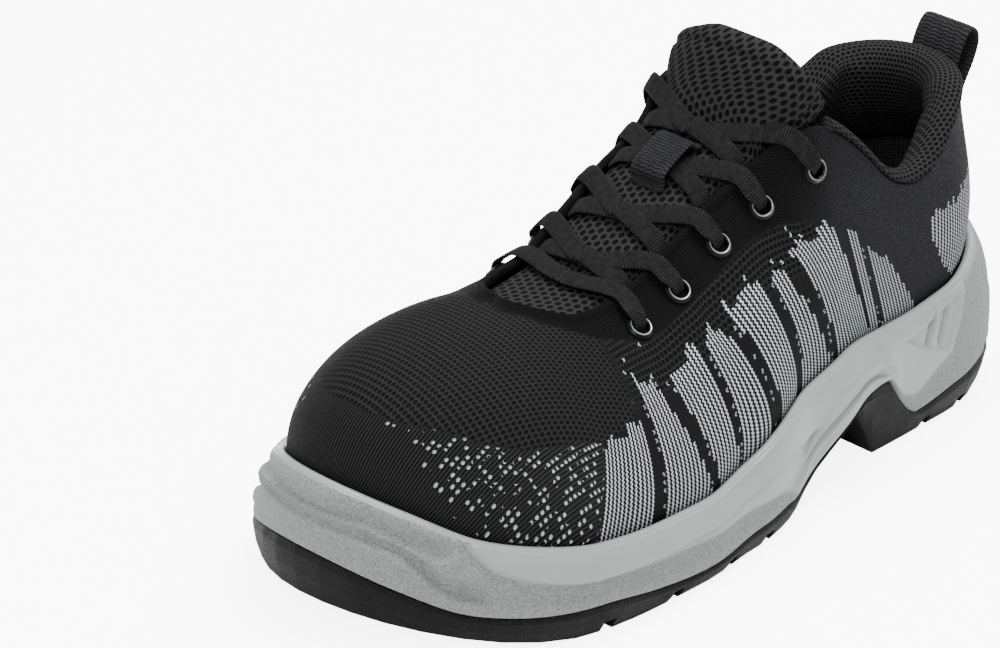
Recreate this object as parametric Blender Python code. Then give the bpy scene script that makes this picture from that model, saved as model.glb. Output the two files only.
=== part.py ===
"""Safety sneaker, left shoe, standing on its sole.

The toe points along -X, the outer (lateral) side along -Y, and the ground is z = 0. Every shape
follows from the sizes below and from short tables whose lengths are shares of those sizes.
"""
import math

import bmesh
import bpy
import numpy as np

# Sole sizes, in metres
SOLE_LENGTH = 0.300
BALL_WIDTH = 0.118
HEEL_WIDTH = 0.082
TOE_SPRING = 0.009
ARCH_HEIGHT = 0.0265
HEEL_STACK = 0.034
RIM_HEIGHT = 0.0560
RIM_THICKNESS = 0.003
SIDE_BULGE = 0.005
HEEL_LEAN = 0.0026
STEP_DEPTH = 0.0009
TREAD_ROUNDING = 0.0026
LUG_DEPTH = 0.0042
LUG_GAP = 0.0046
SIDE_LUG_LENGTH = 0.0165
GROOVE_WIDTH = 0.0032
BACK_RIB_DEPTH = 0.0008

# Upper sizes
COLLAR_HEIGHT = 0.108
COLLAR_HALF_WIDTH = 0.031
UPPER_WALL = 0.0024
THROAT_CENTRE = -0.052
COLLAR_CENTRE = 0.106
FAN_SOFTNESS = 0.016
TOE_OFFSET = 0.0088
HEEL_OFFSET = 0.0008
INSOLE_THICKNESS = 0.005
PADDING_THICKNESS = 0.0085
PADDING_ROLL = 0.0042

# Tongue, lace and trim sizes
TONGUE_THICKNESS = 0.0055
TONGUE_TIP_THICKNESS = 0.011
TONGUE_RISE = 0.018
TONGUE_TIP = (0.030, 0.137)
TONGUE_TIP_CORNER = (0.046, 0.1185)
TONGUE_TIP_HALF_WIDTH = 0.0240
TONGUE_TIP_OFFSET = 0.003
EYELETS_PER_SIDE = 5
EYELET_FRONT = -0.0405
EYELET_REAR = 0.0355
EYELET_EDGE_DISTANCE = 0.0120
EYELET_FLANGE = 0.0047
EYELET_BORE = 0.0024
EYELET_WALL = 0.0006
EYELET_HEIGHT = 0.0011
LACE_WIDTH = 0.0066
LACE_THICKNESS = 0.0016
LACE_FIRST_START = 0.0086
LACE_START = 0.0050
LACE_BACK = 0.0080
LACE_LAST = 0.0195
LACE_LAST_RUN = 0.0025
LACE_EDGE_RISE = 0.0028
LACE_EDGE_SHARE = 0.5
KEEPER_WIDTH = 0.013
KEEPER_REACH = 0.0084
KEEPER_CROSSING = 3
WEBBING_THICKNESS = 0.0015
LOOP_WIDTH = 0.019
LOOP_TOP = 0.1170
LOOP_RISE = 0.021
LOOP_REACH = 0.0118

# Clearances
GAP = 0.0003
PARTING_GAP = 0.0004
SOFT_GAP = 0.0006
TONGUE_GAP = 0.0009
LACE_GAP = 0.0009

SOLE_STATIONS_TOE = 10
SOLE_STATIONS_MIDDLE = 26
SOLE_STATIONS_HEEL = 8
ROUND_SEGMENTS = 10

# Widths of the outline, as shares of the width that runs from ball to heel
OUTLINE_COLUMNS = ("station", "lateral", "medial")
OUTLINE = (
    (0.00, 0.345, 0.475),
    (0.03, 0.385, 0.475),
    (0.10, 0.445, 0.490),
    (0.20, 0.485, 0.500),
    (0.30, 0.500, 0.500),
    (0.36, 0.500, 0.490),
    (0.45, 0.475, 0.445),
    (0.55, 0.470, 0.420),
    (0.65, 0.523, 0.448),
    (0.75, 0.517, 0.461),
    (0.85, 0.503, 0.475),
    (0.93, 0.496, 0.483),
    (1.00, 0.496, 0.483),
)

# Heights along the sole: tread at the toe and heel as shares of the toe spring, arch and parting
# line of the arch height, deck of the heel stack, rim of the rim height
SIDE_COLUMNS = ("station", "spring", "arch", "parting", "deck", "rim")
SIDE = (
    (0.000, 1.00, 0.00, 0.950, 0.740, 0.820),
    (0.030, 0.76, 0.00, 0.740, 0.660, 0.740),
    (0.080, 0.46, 0.00, 0.500, 0.570, 0.608),
    (0.140, 0.20, 0.00, 0.440, 0.520, 0.540),
    (0.200, 0.05, 0.00, 0.420, 0.490, 0.490),
    (0.270, 0.00, 0.00, 0.320, 0.470, 0.462),
    (0.350, 0.00, 0.00, 0.240, 0.480, 0.458),
    (0.430, 0.00, 0.00, 0.290, 0.540, 0.520),
    (0.500, 0.00, 0.00, 0.350, 0.640, 0.615),
    (0.530, 0.00, 0.00, 0.370, 0.700, 0.650),
    (0.555, 0.00, 0.24, 0.440, 0.750, 0.675),
    (0.600, 0.00, 0.50, 0.640, 0.830, 0.705),
    (0.650, 0.00, 0.72, 0.870, 0.905, 0.732),
    (0.670, 0.00, 0.72, 0.950, 0.930, 0.738),
    (0.710, 0.00, 0.00, 1.000, 0.960, 0.745),
    (0.745, 0.00, 0.00, 0.560, 0.975, 0.750),
    (0.775, 0.00, 0.00, 0.335, 0.985, 0.755),
    (0.850, 0.00, 0.00, 0.440, 1.000, 0.800),
    (0.930, 0.00, 0.00, 0.610, 1.000, 0.880),
    (1.000, 0.30, 0.00, 0.830, 1.000, 0.940),
)

# Two stepped waves on the side of the foam: their heights as shares from parting line to rim,
# and how much of the step's depth each keeps
WAVE_COLUMNS = ("station", "low", "high", "low_depth", "high_depth")
WAVES = (
    (0.00, 0.30, 0.50, 1.0, 1.0),
    (0.10, 0.38, 0.58, 1.0, 1.0),
    (0.20, 0.30, 0.56, 1.0, 1.0),
    (0.28, 0.16, 0.50, 1.0, 0.8),
    (0.40, 0.14, 0.42, 0.3, 0.8),
    (0.55, 0.20, 0.42, 0.3, 0.8),
    (0.68, 0.24, 0.50, 0.8, 1.0),
    (0.80, 0.30, 0.56, 0.8, 1.0),
    (1.00, 0.34, 0.58, 0.4, 0.4),
)

# Sections of the upper, a row for each station: half opening on either side as a share of the
# collar's half width, edge height as a share of the collar's height, and the section's handles as shares of
# its rise (up, down) and of its run (out at the edge) or of the rise again (out at the start)
UPPER_COLUMNS = ("station", "opening", "medial_opening", "edge", "medial_edge", "start_out", "start_up",
                 "end_out", "end_down")
UPPER = (
    (0.000, 0.500, 0.500, 0.710, 0.710, 0.03, 0.84, 0.42, -0.04),
    (0.060, 0.500, 0.500, 0.708, 0.708, 0.04, 0.80, 0.42, -0.02),
    (0.130, 0.510, 0.510, 0.700, 0.700, 0.05, 0.72, 0.42, 0.02),
    (0.200, 0.530, 0.530, 0.690, 0.690, 0.05, 0.60, 0.42, 0.06),
    (0.280, 0.560, 0.560, 0.680, 0.680, 0.05, 0.52, 0.42, 0.10),
    (0.350, 0.585, 0.585, 0.690, 0.690, 0.05, 0.46, 0.40, 0.14),
    (0.420, 0.600, 0.648, 0.760, 0.760, 0.05, 0.42, 0.36, 0.18),
    (0.500, 0.600, 0.708, 0.868, 0.868, 0.05, 0.40, 0.36, 0.20),
    (0.545, 0.620, 0.732, 0.922, 0.922, 0.04, 0.38, 0.38, 0.22),
    (0.575, 0.680, 0.802, 0.972, 0.972, 0.04, 0.38, 0.36, 0.22),
    (0.600, 0.780, 0.920, 1.022, 1.022, 0.03, 0.36, 0.32, 0.22),
    (0.635, 0.880, 0.997, 1.040, 1.046, 0.02, 0.34, 0.26, 0.24),
    (0.665, 0.930, 1.018, 1.005, 1.017, 0.02, 0.32, 0.20, 0.26),
    (0.690, 0.955, 1.022, 0.958, 0.978, 0.02, 0.32, 0.16, 0.28),
    (0.715, 0.975, 1.019, 0.900, 0.928, 0.02, 0.32, 0.14, 0.30),
    (0.740, 0.990, 1.025, 0.838, 0.875, 0.02, 0.32, 0.12, 0.32),
    (0.765, 1.000, 1.030, 0.795, 0.841, 0.02, 0.32, 0.11, 0.34),
    (0.790, 1.000, 1.030, 0.778, 0.827, 0.02, 0.32, 0.10, 0.34),
    (0.820, 0.990, 1.020, 0.795, 0.844, 0.02, 0.33, 0.12, 0.34),
    (0.850, 0.950, 0.978, 0.850, 0.895, 0.02, 0.34, 0.17, 0.34),
    (0.880, 0.890, 0.917, 0.905, 0.943, 0.03, 0.36, 0.22, 0.34),
    (0.930, 0.800, 0.800, 0.955, 0.967, 0.04, 0.38, 0.30, 0.34),
    (1.000, 0.770, 0.770, 0.975, 0.975, 0.05, 0.40, 0.36, 0.34),
)
UPPER_STATIONS = (0.0, 0.012, 0.03, 0.055, 0.085, 0.12, 0.155, 0.19, 0.225, 0.26, 0.295, 0.33, 0.365,
                  0.40, 0.435, 0.47, 0.505, 0.535, 0.56, 0.58, 0.60, 0.62, 0.645, 0.67, 0.695, 0.72,
                  0.745, 0.77, 0.80, 0.83, 0.86, 0.89, 0.92, 0.945, 0.965, 0.985, 1.0)
SECTION_SHARES = (0.0, 0.14, 0.28, 0.42, 0.56, 0.70, 0.83, 0.93, 1.0)

# The tongue under the throat, a row for each station: how far its crown rises above the throat's
# edges, as a share of the tongue's rise
TONGUE_COLUMNS = ("station", "rise")
TONGUE = (
    (0.10, 0.00),
    (0.18, 0.04),
    (0.26, 0.10),
    (0.32, 0.14),
    (0.37, 0.17),
    (0.42, 0.20),
    (0.47, 0.24),
    (0.52, 0.27),
    (0.555, 0.30),
    (0.570, 0.32),
)
TONGUE_SIDE_ROWS = 3
TONGUE_ARCH = (-0.86, -0.52, 0.0, 0.52, 0.86)

# The free end of the tongue: crown and corners as shares of the way from the throat's last row
# to the tip, and the half width there as a share of the tip's
TIP = (
    (0.30, 0.30, 0.66),
    (0.62, 0.62, 0.76),
    (0.90, 0.92, 1.00),
    (1.00, 1.00, 0.98),
)
TIP_ARCH = (-1.0, -0.97, -0.92, -0.80, -0.46, 0.0, 0.46, 0.80, 0.92, 0.97, 1.0)

# The lace's way over the tongue as shares across from where it starts, and the keeper's arch and
# the pull loop's way, each as pairs of shares
LACE_SHARES = (-0.80, -0.50, -0.22, 0.0, 0.22, 0.50, 0.80)
KEEPER_ARCH = ((-1.0, 0.0), (-0.88, 0.2), (-0.62, 1.0), (0.62, 1.0), (0.88, 0.2), (1.0, 0.0))
LOOP_WAY = ((0.00, 0.20), (0.01, 0.36), (0.06, 0.52), (0.20, 0.76), (0.40, 0.94), (0.64, 1.00),
            (0.88, 0.92), (0.98, 0.74), (0.88, 0.48), (0.58, 0.24), (0.30, 0.04), (0.17, -0.14))

# The collar's padding starts at a station of its own, and follows these shares of the sections
PADDING_FRONT = 0.65
PADDING_END = 0.30
PADDING_TAPER = 0.16
PADDING_BELLY = (0.20, 0.62, 0.92, 1.05, 1.08, 1.0)

# Side lug gaps and the chevron grooves, as shares of the sole's length, toe to heel
SIDE_GAPS = (0.215, 0.310, 0.400, 0.470)
CHEVRONS = (0.215, 0.300, 0.385, 0.470)
HEEL_GAPS = (0.800, 0.872)
CHEVRON_SLANT = 0.42
GROOVED_STRETCHES = ((0.185, 0.530), (0.745, 0.945))
GROOVE_STEP = 0.030


def smooth(knots, values, at):
    """Monotone cubic through a column of a table, which never overshoots the rows."""
    knots = np.asarray(knots, float)
    values = np.asarray(values, float)
    step = np.diff(knots)
    rise = np.diff(values) / step
    before = rise[:-1]
    after = rise[1:]
    level = before * after <= 0.0
    before = np.where(level, 1.0, before)
    after = np.where(level, 1.0, after)
    first = 2.0 * step[1:] + step[:-1]
    second = step[1:] + 2.0 * step[:-1]
    inner = np.where(level, 0.0, (first + second) / (first / before + second / after))
    slope = np.concatenate([[rise[0]], inner, [rise[-1]]])
    at = np.clip(np.asarray(at, float), knots[0], knots[-1])
    row = np.clip(np.searchsorted(knots, at, side="right") - 1, 0, len(step) - 1)
    share = (at - knots[row]) / step[row]
    rest = 1.0 - share
    ends = values[row] * (1.0 + 2.0 * share) * rest**2 + values[row + 1] * (3.0 - 2.0 * share) * share**2
    turns = slope[row] * share * rest**2 - slope[row + 1] * rest * share**2
    return ends + turns * step[row]


def column(table, names, name, at):
    """One named column of a table, read between its rows."""
    rows = np.array(table)
    return smooth(rows[:, 0], rows[:, names.index(name)], at)


def ease(value, low, high):
    """Smooth step from 0 at low to 1 at high."""
    share = np.clip((value - low) / (high - low), 0.0, 1.0)
    return share * share * (3.0 - 2.0 * share)


def round_end(distance, reach, power):
    """Rises from 0 at the tip to 1 at the reach, like the end of a last."""
    left = np.clip(1.0 - distance / reach, 0.0, 1.0)
    return np.sqrt(1.0 - left**power)


def outline(station, side, inset):
    """Plan of the sole at a distance inside its edge: side is -1 lateral, +1 medial."""
    width = BALL_WIDTH + (HEEL_WIDTH - BALL_WIDTH) * ease(station, 0.45, 0.70)
    lateral = -column(OUTLINE, OUTLINE_COLUMNS, "lateral", station) * (width - 2.0 * inset)
    medial = column(OUTLINE, OUTLINE_COLUMNS, "medial", station) * (width - 2.0 * inset)
    y = np.where(side < 0, lateral, medial)
    y = TOE_OFFSET + (y - TOE_OFFSET) * round_end(station, 0.22, 2.3)
    y = HEEL_OFFSET + (y - HEEL_OFFSET) * round_end(1.0 - station, 0.15, 2.2)
    return (station - 0.5) * (SOLE_LENGTH - 2.0 * inset), y


def tread_height(station):
    spring = column(SIDE, SIDE_COLUMNS, "spring", station) * TOE_SPRING
    return spring + column(SIDE, SIDE_COLUMNS, "arch", station) * ARCH_HEIGHT


def parting_height(station):
    return column(SIDE, SIDE_COLUMNS, "parting", station) * ARCH_HEIGHT


def deck_height(station):
    return column(SIDE, SIDE_COLUMNS, "deck", station) * HEEL_STACK


def rim_height(station):
    return column(SIDE, SIDE_COLUMNS, "rim", station) * RIM_HEIGHT


def station_at(x):
    """Share of the sole's length at a place along it."""
    return np.clip(x / SOLE_LENGTH + 0.5, 0.0, 1.0)


def sole_stations():
    """Stations close together at the round ends and evenly spaced between them."""
    toe = 0.25 * (1.0 - np.cos(np.linspace(0.0, math.pi / 2.0, SOLE_STATIONS_TOE + 1)))
    middle = np.linspace(0.25, 0.85, SOLE_STATIONS_MIDDLE + 1)
    heel = 1.0 - 0.15 * (1.0 - np.cos(np.linspace(math.pi / 2.0, 0.0, SOLE_STATIONS_HEEL + 1)))
    return np.concatenate([toe[:-1], middle, heel[1:]])


def around(stations):
    """Stations and sides once around the shoe: lateral toe to heel, then medial heel to toe."""
    stations = np.asarray(stations, float)
    along = np.concatenate([stations, stations[-2:0:-1]])
    sides = np.concatenate([-np.ones(len(stations)), np.ones(len(stations) - 2)])
    return along, sides


def loop(stations, inset, height):
    """One closed ring of points at an inset and a height, each a number or one for each point."""
    along, sides = around(stations)
    x, y = outline(along, sides, inset)
    return np.column_stack([x, y, np.broadcast_to(height, x.shape)])


def material(name, colour, roughness, metallic=0.0):
    made = bpy.data.materials.new(name)
    made.use_nodes = True
    shader = made.node_tree.nodes["Principled BSDF"]
    shader.inputs["Base Color"].default_value = (*colour, 1.0)
    shader.inputs["Roughness"].default_value = roughness
    shader.inputs["Metallic"].default_value = metallic
    made.diffuse_color = (*colour, 1.0)
    return made


def solid(name, points, faces, finish=None, sharp=math.radians(40.0)):
    """A closed mesh object with its faces pointing out."""
    mesh = bpy.data.meshes.new(name)
    mesh.from_pydata([tuple(point) for point in points], [], faces)
    edit = bmesh.new()
    edit.from_mesh(mesh)
    bmesh.ops.recalc_face_normals(edit, faces=edit.faces)
    if edit.calc_volume(signed=True) < 0.0:
        bmesh.ops.reverse_faces(edit, faces=edit.faces)
    edit.to_mesh(mesh)
    edit.free()
    mesh.shade_smooth()
    mesh.set_sharp_from_angle(angle=sharp)
    made = bpy.data.objects.new(name, mesh)
    bpy.context.collection.objects.link(made)
    if finish is not None:
        mesh.materials.append(finish)
    return made


def ring_faces(rings, count, closed=False):
    """Quads between neighbouring rings of count points, and from last to first if closed."""
    faces = []
    for ring in range(rings if closed else rings - 1):
        low = ring * count
        high = ((ring + 1) % rings) * count
        for i in range(count):
            j = (i + 1) % count
            faces.append((low + i, low + j, high + j, high + i))
    return faces


def rungs(start, count):
    """Faces that close a ring made by around(), straight across from side to side."""
    half = count // 2
    faces = [(start, start + 1, start + count - 1)]
    for i in range(1, half - 1):
        faces.append((start + i, start + i + 1, start + count - i - 1, start + count - i))
    faces.append((start + half - 1, start + half, start + half + 1))
    return faces


def stacked(name, rings, finish=None):
    """A solid from rings made by around(), closed straight across at both ends."""
    count = len(rings[0])
    faces = ring_faces(len(rings), count)
    faces += rungs(0, count)
    faces += rungs((len(rings) - 1) * count, count)
    return solid(name, np.concatenate(rings), faces, finish)


def swept(name, rings, finish=None):
    """A solid from a row of equal closed rings, with a face at each end."""
    count = len(rings[0])
    faces = ring_faces(len(rings), count)
    faces.append(tuple(range(count)))
    last = (len(rings) - 1) * count
    faces.append(tuple(last + i for i in range(count)))
    return solid(name, np.concatenate(rings), faces, finish)


def cut(target, cutter):
    cutter.hide_render = True
    cutter.display_type = "WIRE"
    change = target.modifiers.new(cutter.name, "BOOLEAN")
    change.operation = "DIFFERENCE"
    change.solver = "EXACT"
    change.use_self = True
    change.object = cutter


def joined(name, shapes):
    """One cutter from shapes, each a pair of points and faces."""
    points = []
    faces = []
    for corners, sides in shapes:
        start = len(points)
        points.extend(tuple(corner) for corner in corners)
        faces.extend(tuple(start + i for i in side) for side in sides)
    return solid(name, points, faces)


def plan_prism(plan, depth):
    """Corners and faces of a cut that rises from below the tread to a depth inside it."""
    plan = np.asarray(plan, float)
    count = len(plan)
    low = np.column_stack([plan, np.full(count, -2.0 * LUG_DEPTH)])
    top = tread_height(station_at(plan[:, 0])) + depth
    high = np.column_stack([plan, top])
    faces = ring_faces(2, count)
    faces.append(tuple(range(count)))
    faces.append(tuple(count + i for i in range(count)))
    return np.concatenate([low, high]), faces


def bar_plan(start, end, width):
    """Four corners of a straight bar of a width between two places in plan."""
    start = np.asarray(start, float)
    end = np.asarray(end, float)
    along = (end - start) / np.linalg.norm(end - start)
    across = np.array([-along[1], along[0]]) * width / 2.0
    return [start + across, end + across, end - across, start - across]


def centre_line(x):
    """Ridge of the instep, on the medial side as far as the throat, and central at the collar."""
    return TOE_OFFSET + (HEEL_OFFSET - TOE_OFFSET) * ease(x, 0.0, COLLAR_CENTRE)


def edge_at(x, side, inset):
    """Place across the sole, at a place along it, of the line at an inset."""
    share = np.clip(x / (SOLE_LENGTH - 2.0 * inset) + 0.5, 0.0, 1.0)
    return float(outline(np.array([share]), np.array([side]), inset)[1][0])


def field_grooves():
    """Grooves along each side that part the side lugs from the middle of the tread."""
    shapes = []
    for start, end in GROOVED_STRETCHES:
        stations = np.linspace(start, end, round((end - start) / GROOVE_STEP))
        for side in (-1.0, 1.0):
            sides = np.full(len(stations), side)
            outer = np.column_stack(outline(stations, sides, SIDE_LUG_LENGTH))
            inner = np.column_stack(outline(stations, sides, SIDE_LUG_LENGTH + GROOVE_WIDTH))
            plan = np.concatenate([outer, inner[::-1]])
            shapes.append(plan_prism(plan, LUG_DEPTH - 2.0 * GAP))
    return shapes


def side_gaps():
    """Gaps between the side lugs, open at the sole's edge."""
    shapes = []
    for share in SIDE_GAPS + HEEL_GAPS:
        x = (share - 0.5) * SOLE_LENGTH
        for side in (-1.0, 1.0):
            outer = edge_at(x, side, 0.0) + side * SIDE_LUG_LENGTH
            inner = edge_at(x, side, SIDE_LUG_LENGTH + GROOVE_WIDTH * 0.7)
            shapes.append(plan_prism(bar_plan((x, outer), (x, inner), LUG_GAP), LUG_DEPTH))
    return shapes


def chevrons():
    """V-shaped grooves across the middle, which leave two rows of slanted blocks."""
    shapes = []
    half = GROOVE_WIDTH / 2.0
    for share in CHEVRONS:
        x = (share - 0.5) * SOLE_LENGTH
        ends = [edge_at(x, side, SIDE_LUG_LENGTH + GROOVE_WIDTH * 0.3) for side in (-1.0, 1.0)]
        middle = float(centre_line(x))
        tip = x + CHEVRON_SLANT * (ends[1] - ends[0]) / 2.0
        plan = [(x - half, ends[0]), (tip - half, middle), (x - half, ends[1]),
                (x + half, ends[1]), (tip + half, middle), (x + half, ends[0])]
        shapes.append(plan_prism(plan, LUG_DEPTH - GAP))
    return shapes


def outsole():
    stations = sole_stations()
    along, _ = around(stations)
    tread = tread_height(along)
    top = parting_height(along) - PARTING_GAP
    middle = tread + (top - tread) * 0.45
    rings = [
        loop(stations, 0.0006, top),
        loop(stations, 0.0, top - (top - middle) * 0.3),
        loop(stations, TREAD_ROUNDING * 0.25, middle),
        loop(stations, TREAD_ROUNDING, tread),
    ]
    rubber = material("rubber_black", (0.012, 0.012, 0.013), 0.55)
    sole = stacked("outsole", rings, rubber)
    cut(sole, joined("tread_grooves", field_grooves() + side_gaps() + chevrons()))
    return sole


def midsole():
    stations = sole_stations()
    along, _ = around(stations)
    base = parting_height(along)
    rim = rim_height(along)
    tall = rim - base
    wave = {name: column(WAVES, WAVE_COLUMNS, name, along) for name in WAVE_COLUMNS[1:]}
    low_step = STEP_DEPTH * wave["low_depth"]
    high_step = STEP_DEPTH * wave["high_depth"]
    back = np.cos((1.0 - along) * SOLE_LENGTH / 0.0095 * 2.0 * math.pi)
    ribs = BACK_RIB_DEPTH * 0.5 * (1.0 - back) * ease(along, 0.90, 0.95)
    lip = SIDE_BULGE + RIM_THICKNESS
    lean = HEEL_LEAN * ease(along, 0.84, 0.98)
    rings = [
        loop(stations, 0.0006, base),
        loop(stations, ribs, base + tall * wave["low"] * 0.45),
        loop(stations, 0.0002 + ribs, base + tall * wave["low"]),
        loop(stations, 0.0002 + low_step + ribs, base + tall * wave["low"] + 0.0010),
        loop(stations, SIDE_BULGE * 0.22 + low_step * 0.6 + ribs + lean * 0.5,
             base + tall * wave["high"]),
        loop(stations, SIDE_BULGE * 0.22 + low_step * 0.6 + high_step + ribs + lean * 0.5,
             base + tall * wave["high"] + 0.0010),
        loop(stations, SIDE_BULGE * 0.58 + lean * 0.8, base + tall * 0.80),
        loop(stations, SIDE_BULGE + lean, rim - RIM_THICKNESS * 0.35),
        loop(stations, SIDE_BULGE + lean + RIM_THICKNESS * 0.3, rim),
        loop(stations, lip + lean - RIM_THICKNESS * 0.15, rim - RIM_THICKNESS * 0.1),
        loop(stations, lip + lean, deck_height(along)),
    ]
    foam = material("foam_light_grey", (0.42, 0.45, 0.44), 0.6)
    return stacked("midsole", rings, foam)


def soft_clamp(x):
    """Spine place of each section: level with it between throat and collar, and fanned beyond."""
    low = 0.5 * (x + THROAT_CENTRE + np.sqrt((x - THROAT_CENTRE)**2 + FAN_SOFTNESS**2))
    return 0.5 * (low + COLLAR_CENTRE - np.sqrt((low - COLLAR_CENTRE)**2 + FAN_SOFTNESS**2))


def section_frame(along, sides):
    """Foot and edge of each section of the upper, and the level direction that faces out."""
    inset = SIDE_BULGE + RIM_THICKNESS + GAP + HEEL_LEAN * ease(along, 0.84, 0.98)
    x, y = outline(along, sides, inset)
    foot = np.column_stack([x, y, rim_height(along)])
    spine_x = soft_clamp(x)
    spine = np.column_stack([spine_x, centre_line(spine_x)])
    out = foot[:, :2] - spine
    run = np.linalg.norm(out, axis=1)
    out = out / run[:, None]
    read = {name: column(UPPER, UPPER_COLUMNS, name, along) for name in UPPER_COLUMNS[1:5]}
    opening = np.where(sides < 0.0, read["opening"], read["medial_opening"]) * COLLAR_HALF_WIDTH
    height = np.where(sides < 0.0, read["edge"], read["medial_edge"]) * COLLAR_HEIGHT
    edge = np.column_stack([spine + out * opening[:, None], height])
    return foot, edge, np.column_stack([out, np.zeros(len(out))]), run - opening


def upper_outer(along, sides, shares):
    """Outer face of the upper above the rim: one cubic section for each station."""
    foot, edge, out, run = section_frame(along, sides)
    rise = (edge[:, 2] - foot[:, 2])[:, None]
    up = np.array([0.0, 0.0, 1.0])
    read = {name: column(UPPER, UPPER_COLUMNS, name, along)[:, None] for name in UPPER_COLUMNS[5:]}
    first = foot + out * read["start_out"] * rise + up * read["start_up"] * rise
    second = edge + out * read["end_out"] * run[:, None] - up * read["end_down"] * rise
    rows = []
    for share in shares:
        rest = 1.0 - share
        rows.append(rest**3 * foot + 3 * rest**2 * share * first + 3 * rest * share**2 * second
                    + share**3 * edge)
    return np.array(rows)


def grid_normals(rows):
    """Normals of a grid of points whose rows are closed rings, facing away from the shoe."""
    across = np.roll(rows, -1, axis=1) - np.roll(rows, 1, axis=1)
    up = np.gradient(rows, axis=0)
    normal = np.cross(across, up)
    return normal / np.linalg.norm(normal, axis=2, keepdims=True)


def upper_faces(stations, shares):
    """Outer and inner face of the upper as rows of rings, from its lower edge to its opening."""
    along, sides = around(stations)
    above = upper_outer(along, sides, shares)
    below = above[0].copy()
    below[:, 2] = deck_height(along) + GAP
    outer = np.concatenate([below[None], above])
    normal = grid_normals(outer)
    normal[0] = normal[1] * (1.0, 1.0, 0.0)
    normal[0] /= np.linalg.norm(normal[0], axis=1, keepdims=True)
    inner = outer - normal * UPPER_WALL
    return outer, inner, normal


def upper():
    outer, inner, _ = upper_faces(UPPER_STATIONS, SECTION_SHARES)
    rings = np.concatenate([outer, inner[::-1]])
    faces = ring_faces(len(rings), rings.shape[1], closed=True)
    knit = material("knit_black", (0.018, 0.018, 0.020), 0.85)
    return solid("upper", rings.reshape(-1, 3), faces, knit, math.radians(60.0))


def insole():
    _, inner, normal = upper_faces(UPPER_STATIONS, SECTION_SHARES)
    rings = []
    for height, inset in ((0.0, 0.0016), (0.5, 0.0), (1.0, 0.0010)):
        ring = inner[0] - normal[0] * (2.0 * GAP + inset)
        ring[:, 2] = inner[0][:, 2] + height * INSOLE_THICKNESS
        rings.append(ring)
    return stacked("insole", rings, material("insole_textile_black", (0.02, 0.02, 0.022), 0.9))


def collar_padding():
    """Padded lining of the collar, whose roll covers the upper's top edge."""
    along, sides = around(UPPER_STATIONS)
    behind = along >= PADDING_FRONT
    rows = slice(-len(PADDING_BELLY), None)
    outer, inner, normal = (grid[rows, behind] for grid in upper_faces(UPPER_STATIONS, SECTION_SHARES))
    out = section_frame(along, sides)[2][behind]
    grow = ease(along[behind], PADDING_FRONT, PADDING_FRONT + PADDING_TAPER)[:, None]
    thick = PADDING_THICKNESS * (PADDING_END + (1.0 - PADDING_END) * grow)
    face = inner - normal * SOFT_GAP
    belly = [row - normal[i] * thick * PADDING_BELLY[i] for i, row in enumerate(face)]
    edge = outer[-1]
    up = np.array([0.0, 0.0, PADDING_ROLL])
    roll = [
        face[-1] + up * 0.15,
        edge - out * UPPER_WALL * 0.3 + up * 0.15,
        edge + out * GAP + up * 0.40,
        edge - out * UPPER_WALL * 0.4 + up * 0.85,
        edge - out * (UPPER_WALL + thick * 0.35) + up,
        edge - out * (UPPER_WALL + thick * 0.80) + up * 0.55,
    ]
    ring = list(face) + roll + belly[::-1]
    rings = np.stack(ring, axis=1)
    return swept("collar_padding", list(rings), material("lining_mesh_black", (0.02, 0.02, 0.022), 0.9))


def arch(share):
    """Height of a full arch, 1 at its crown and 0 at its feet."""
    return (1.0 - np.abs(share)**2.8)**0.55


def tongue_face():
    """Outer face of the tongue: rows under the throat's edges, then the free end above them."""
    stations = np.array([row[0] for row in TONGUE])
    crown = column(TONGUE, TONGUE_COLUMNS, "rise", stations) * TONGUE_RISE
    along = np.concatenate([stations, stations])
    sides = np.concatenate([-np.ones(len(stations)), np.ones(len(stations))])
    _, inner, normal = upper_faces(UPPER_STATIONS, SECTION_SHARES)
    ring_along, ring_sides = around(UPPER_STATIONS)
    rows = []
    for station, rise in zip(stations, crown):
        feet = []
        for side in (-1.0, 1.0):
            picked = np.flatnonzero((ring_sides == side) | (ring_along % 1.0 == 0.0))
            order = picked[np.argsort(ring_along[picked])]
            under = (inner - normal * TONGUE_GAP)[-TONGUE_SIDE_ROWS:, order]
            feet.append([[np.interp(station, ring_along[order], row[:, axis]) for axis in range(3)]
                         for row in under])
        lateral, medial = np.array(feet)
        across = (np.array(TONGUE_ARCH)[:, None] + 1.0) / 2.0
        middle = lateral[-1] + (medial[-1] - lateral[-1]) * across
        middle[:, 2] += rise * arch(np.array(TONGUE_ARCH))
        rows.append(np.concatenate([lateral, middle, medial[::-1]]))
    last = rows[-1]
    crown_start = last[len(last) // 2]
    corner_start = (last[0] + last[-1]) / 2.0
    shape = arch(np.array(TIP_ARCH))[:, None]
    spread = np.array(TIP_ARCH)
    for crown_share, corner_share, width_share in TIP:
        top = crown_start[[0, 2]] + (np.array(TONGUE_TIP) - crown_start[[0, 2]]) * crown_share
        foot = corner_start[[0, 2]] + (np.array(TONGUE_TIP_CORNER) - corner_start[[0, 2]]) * corner_share
        place = foot + (top - foot) * shape
        half = TONGUE_TIP_HALF_WIDTH * width_share
        across = centre_line(foot[0]) + TONGUE_TIP_OFFSET + spread * half
        rows.append(np.column_stack([place[:, 0], across, place[:, 1]]))
    return np.array(rows)


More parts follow.
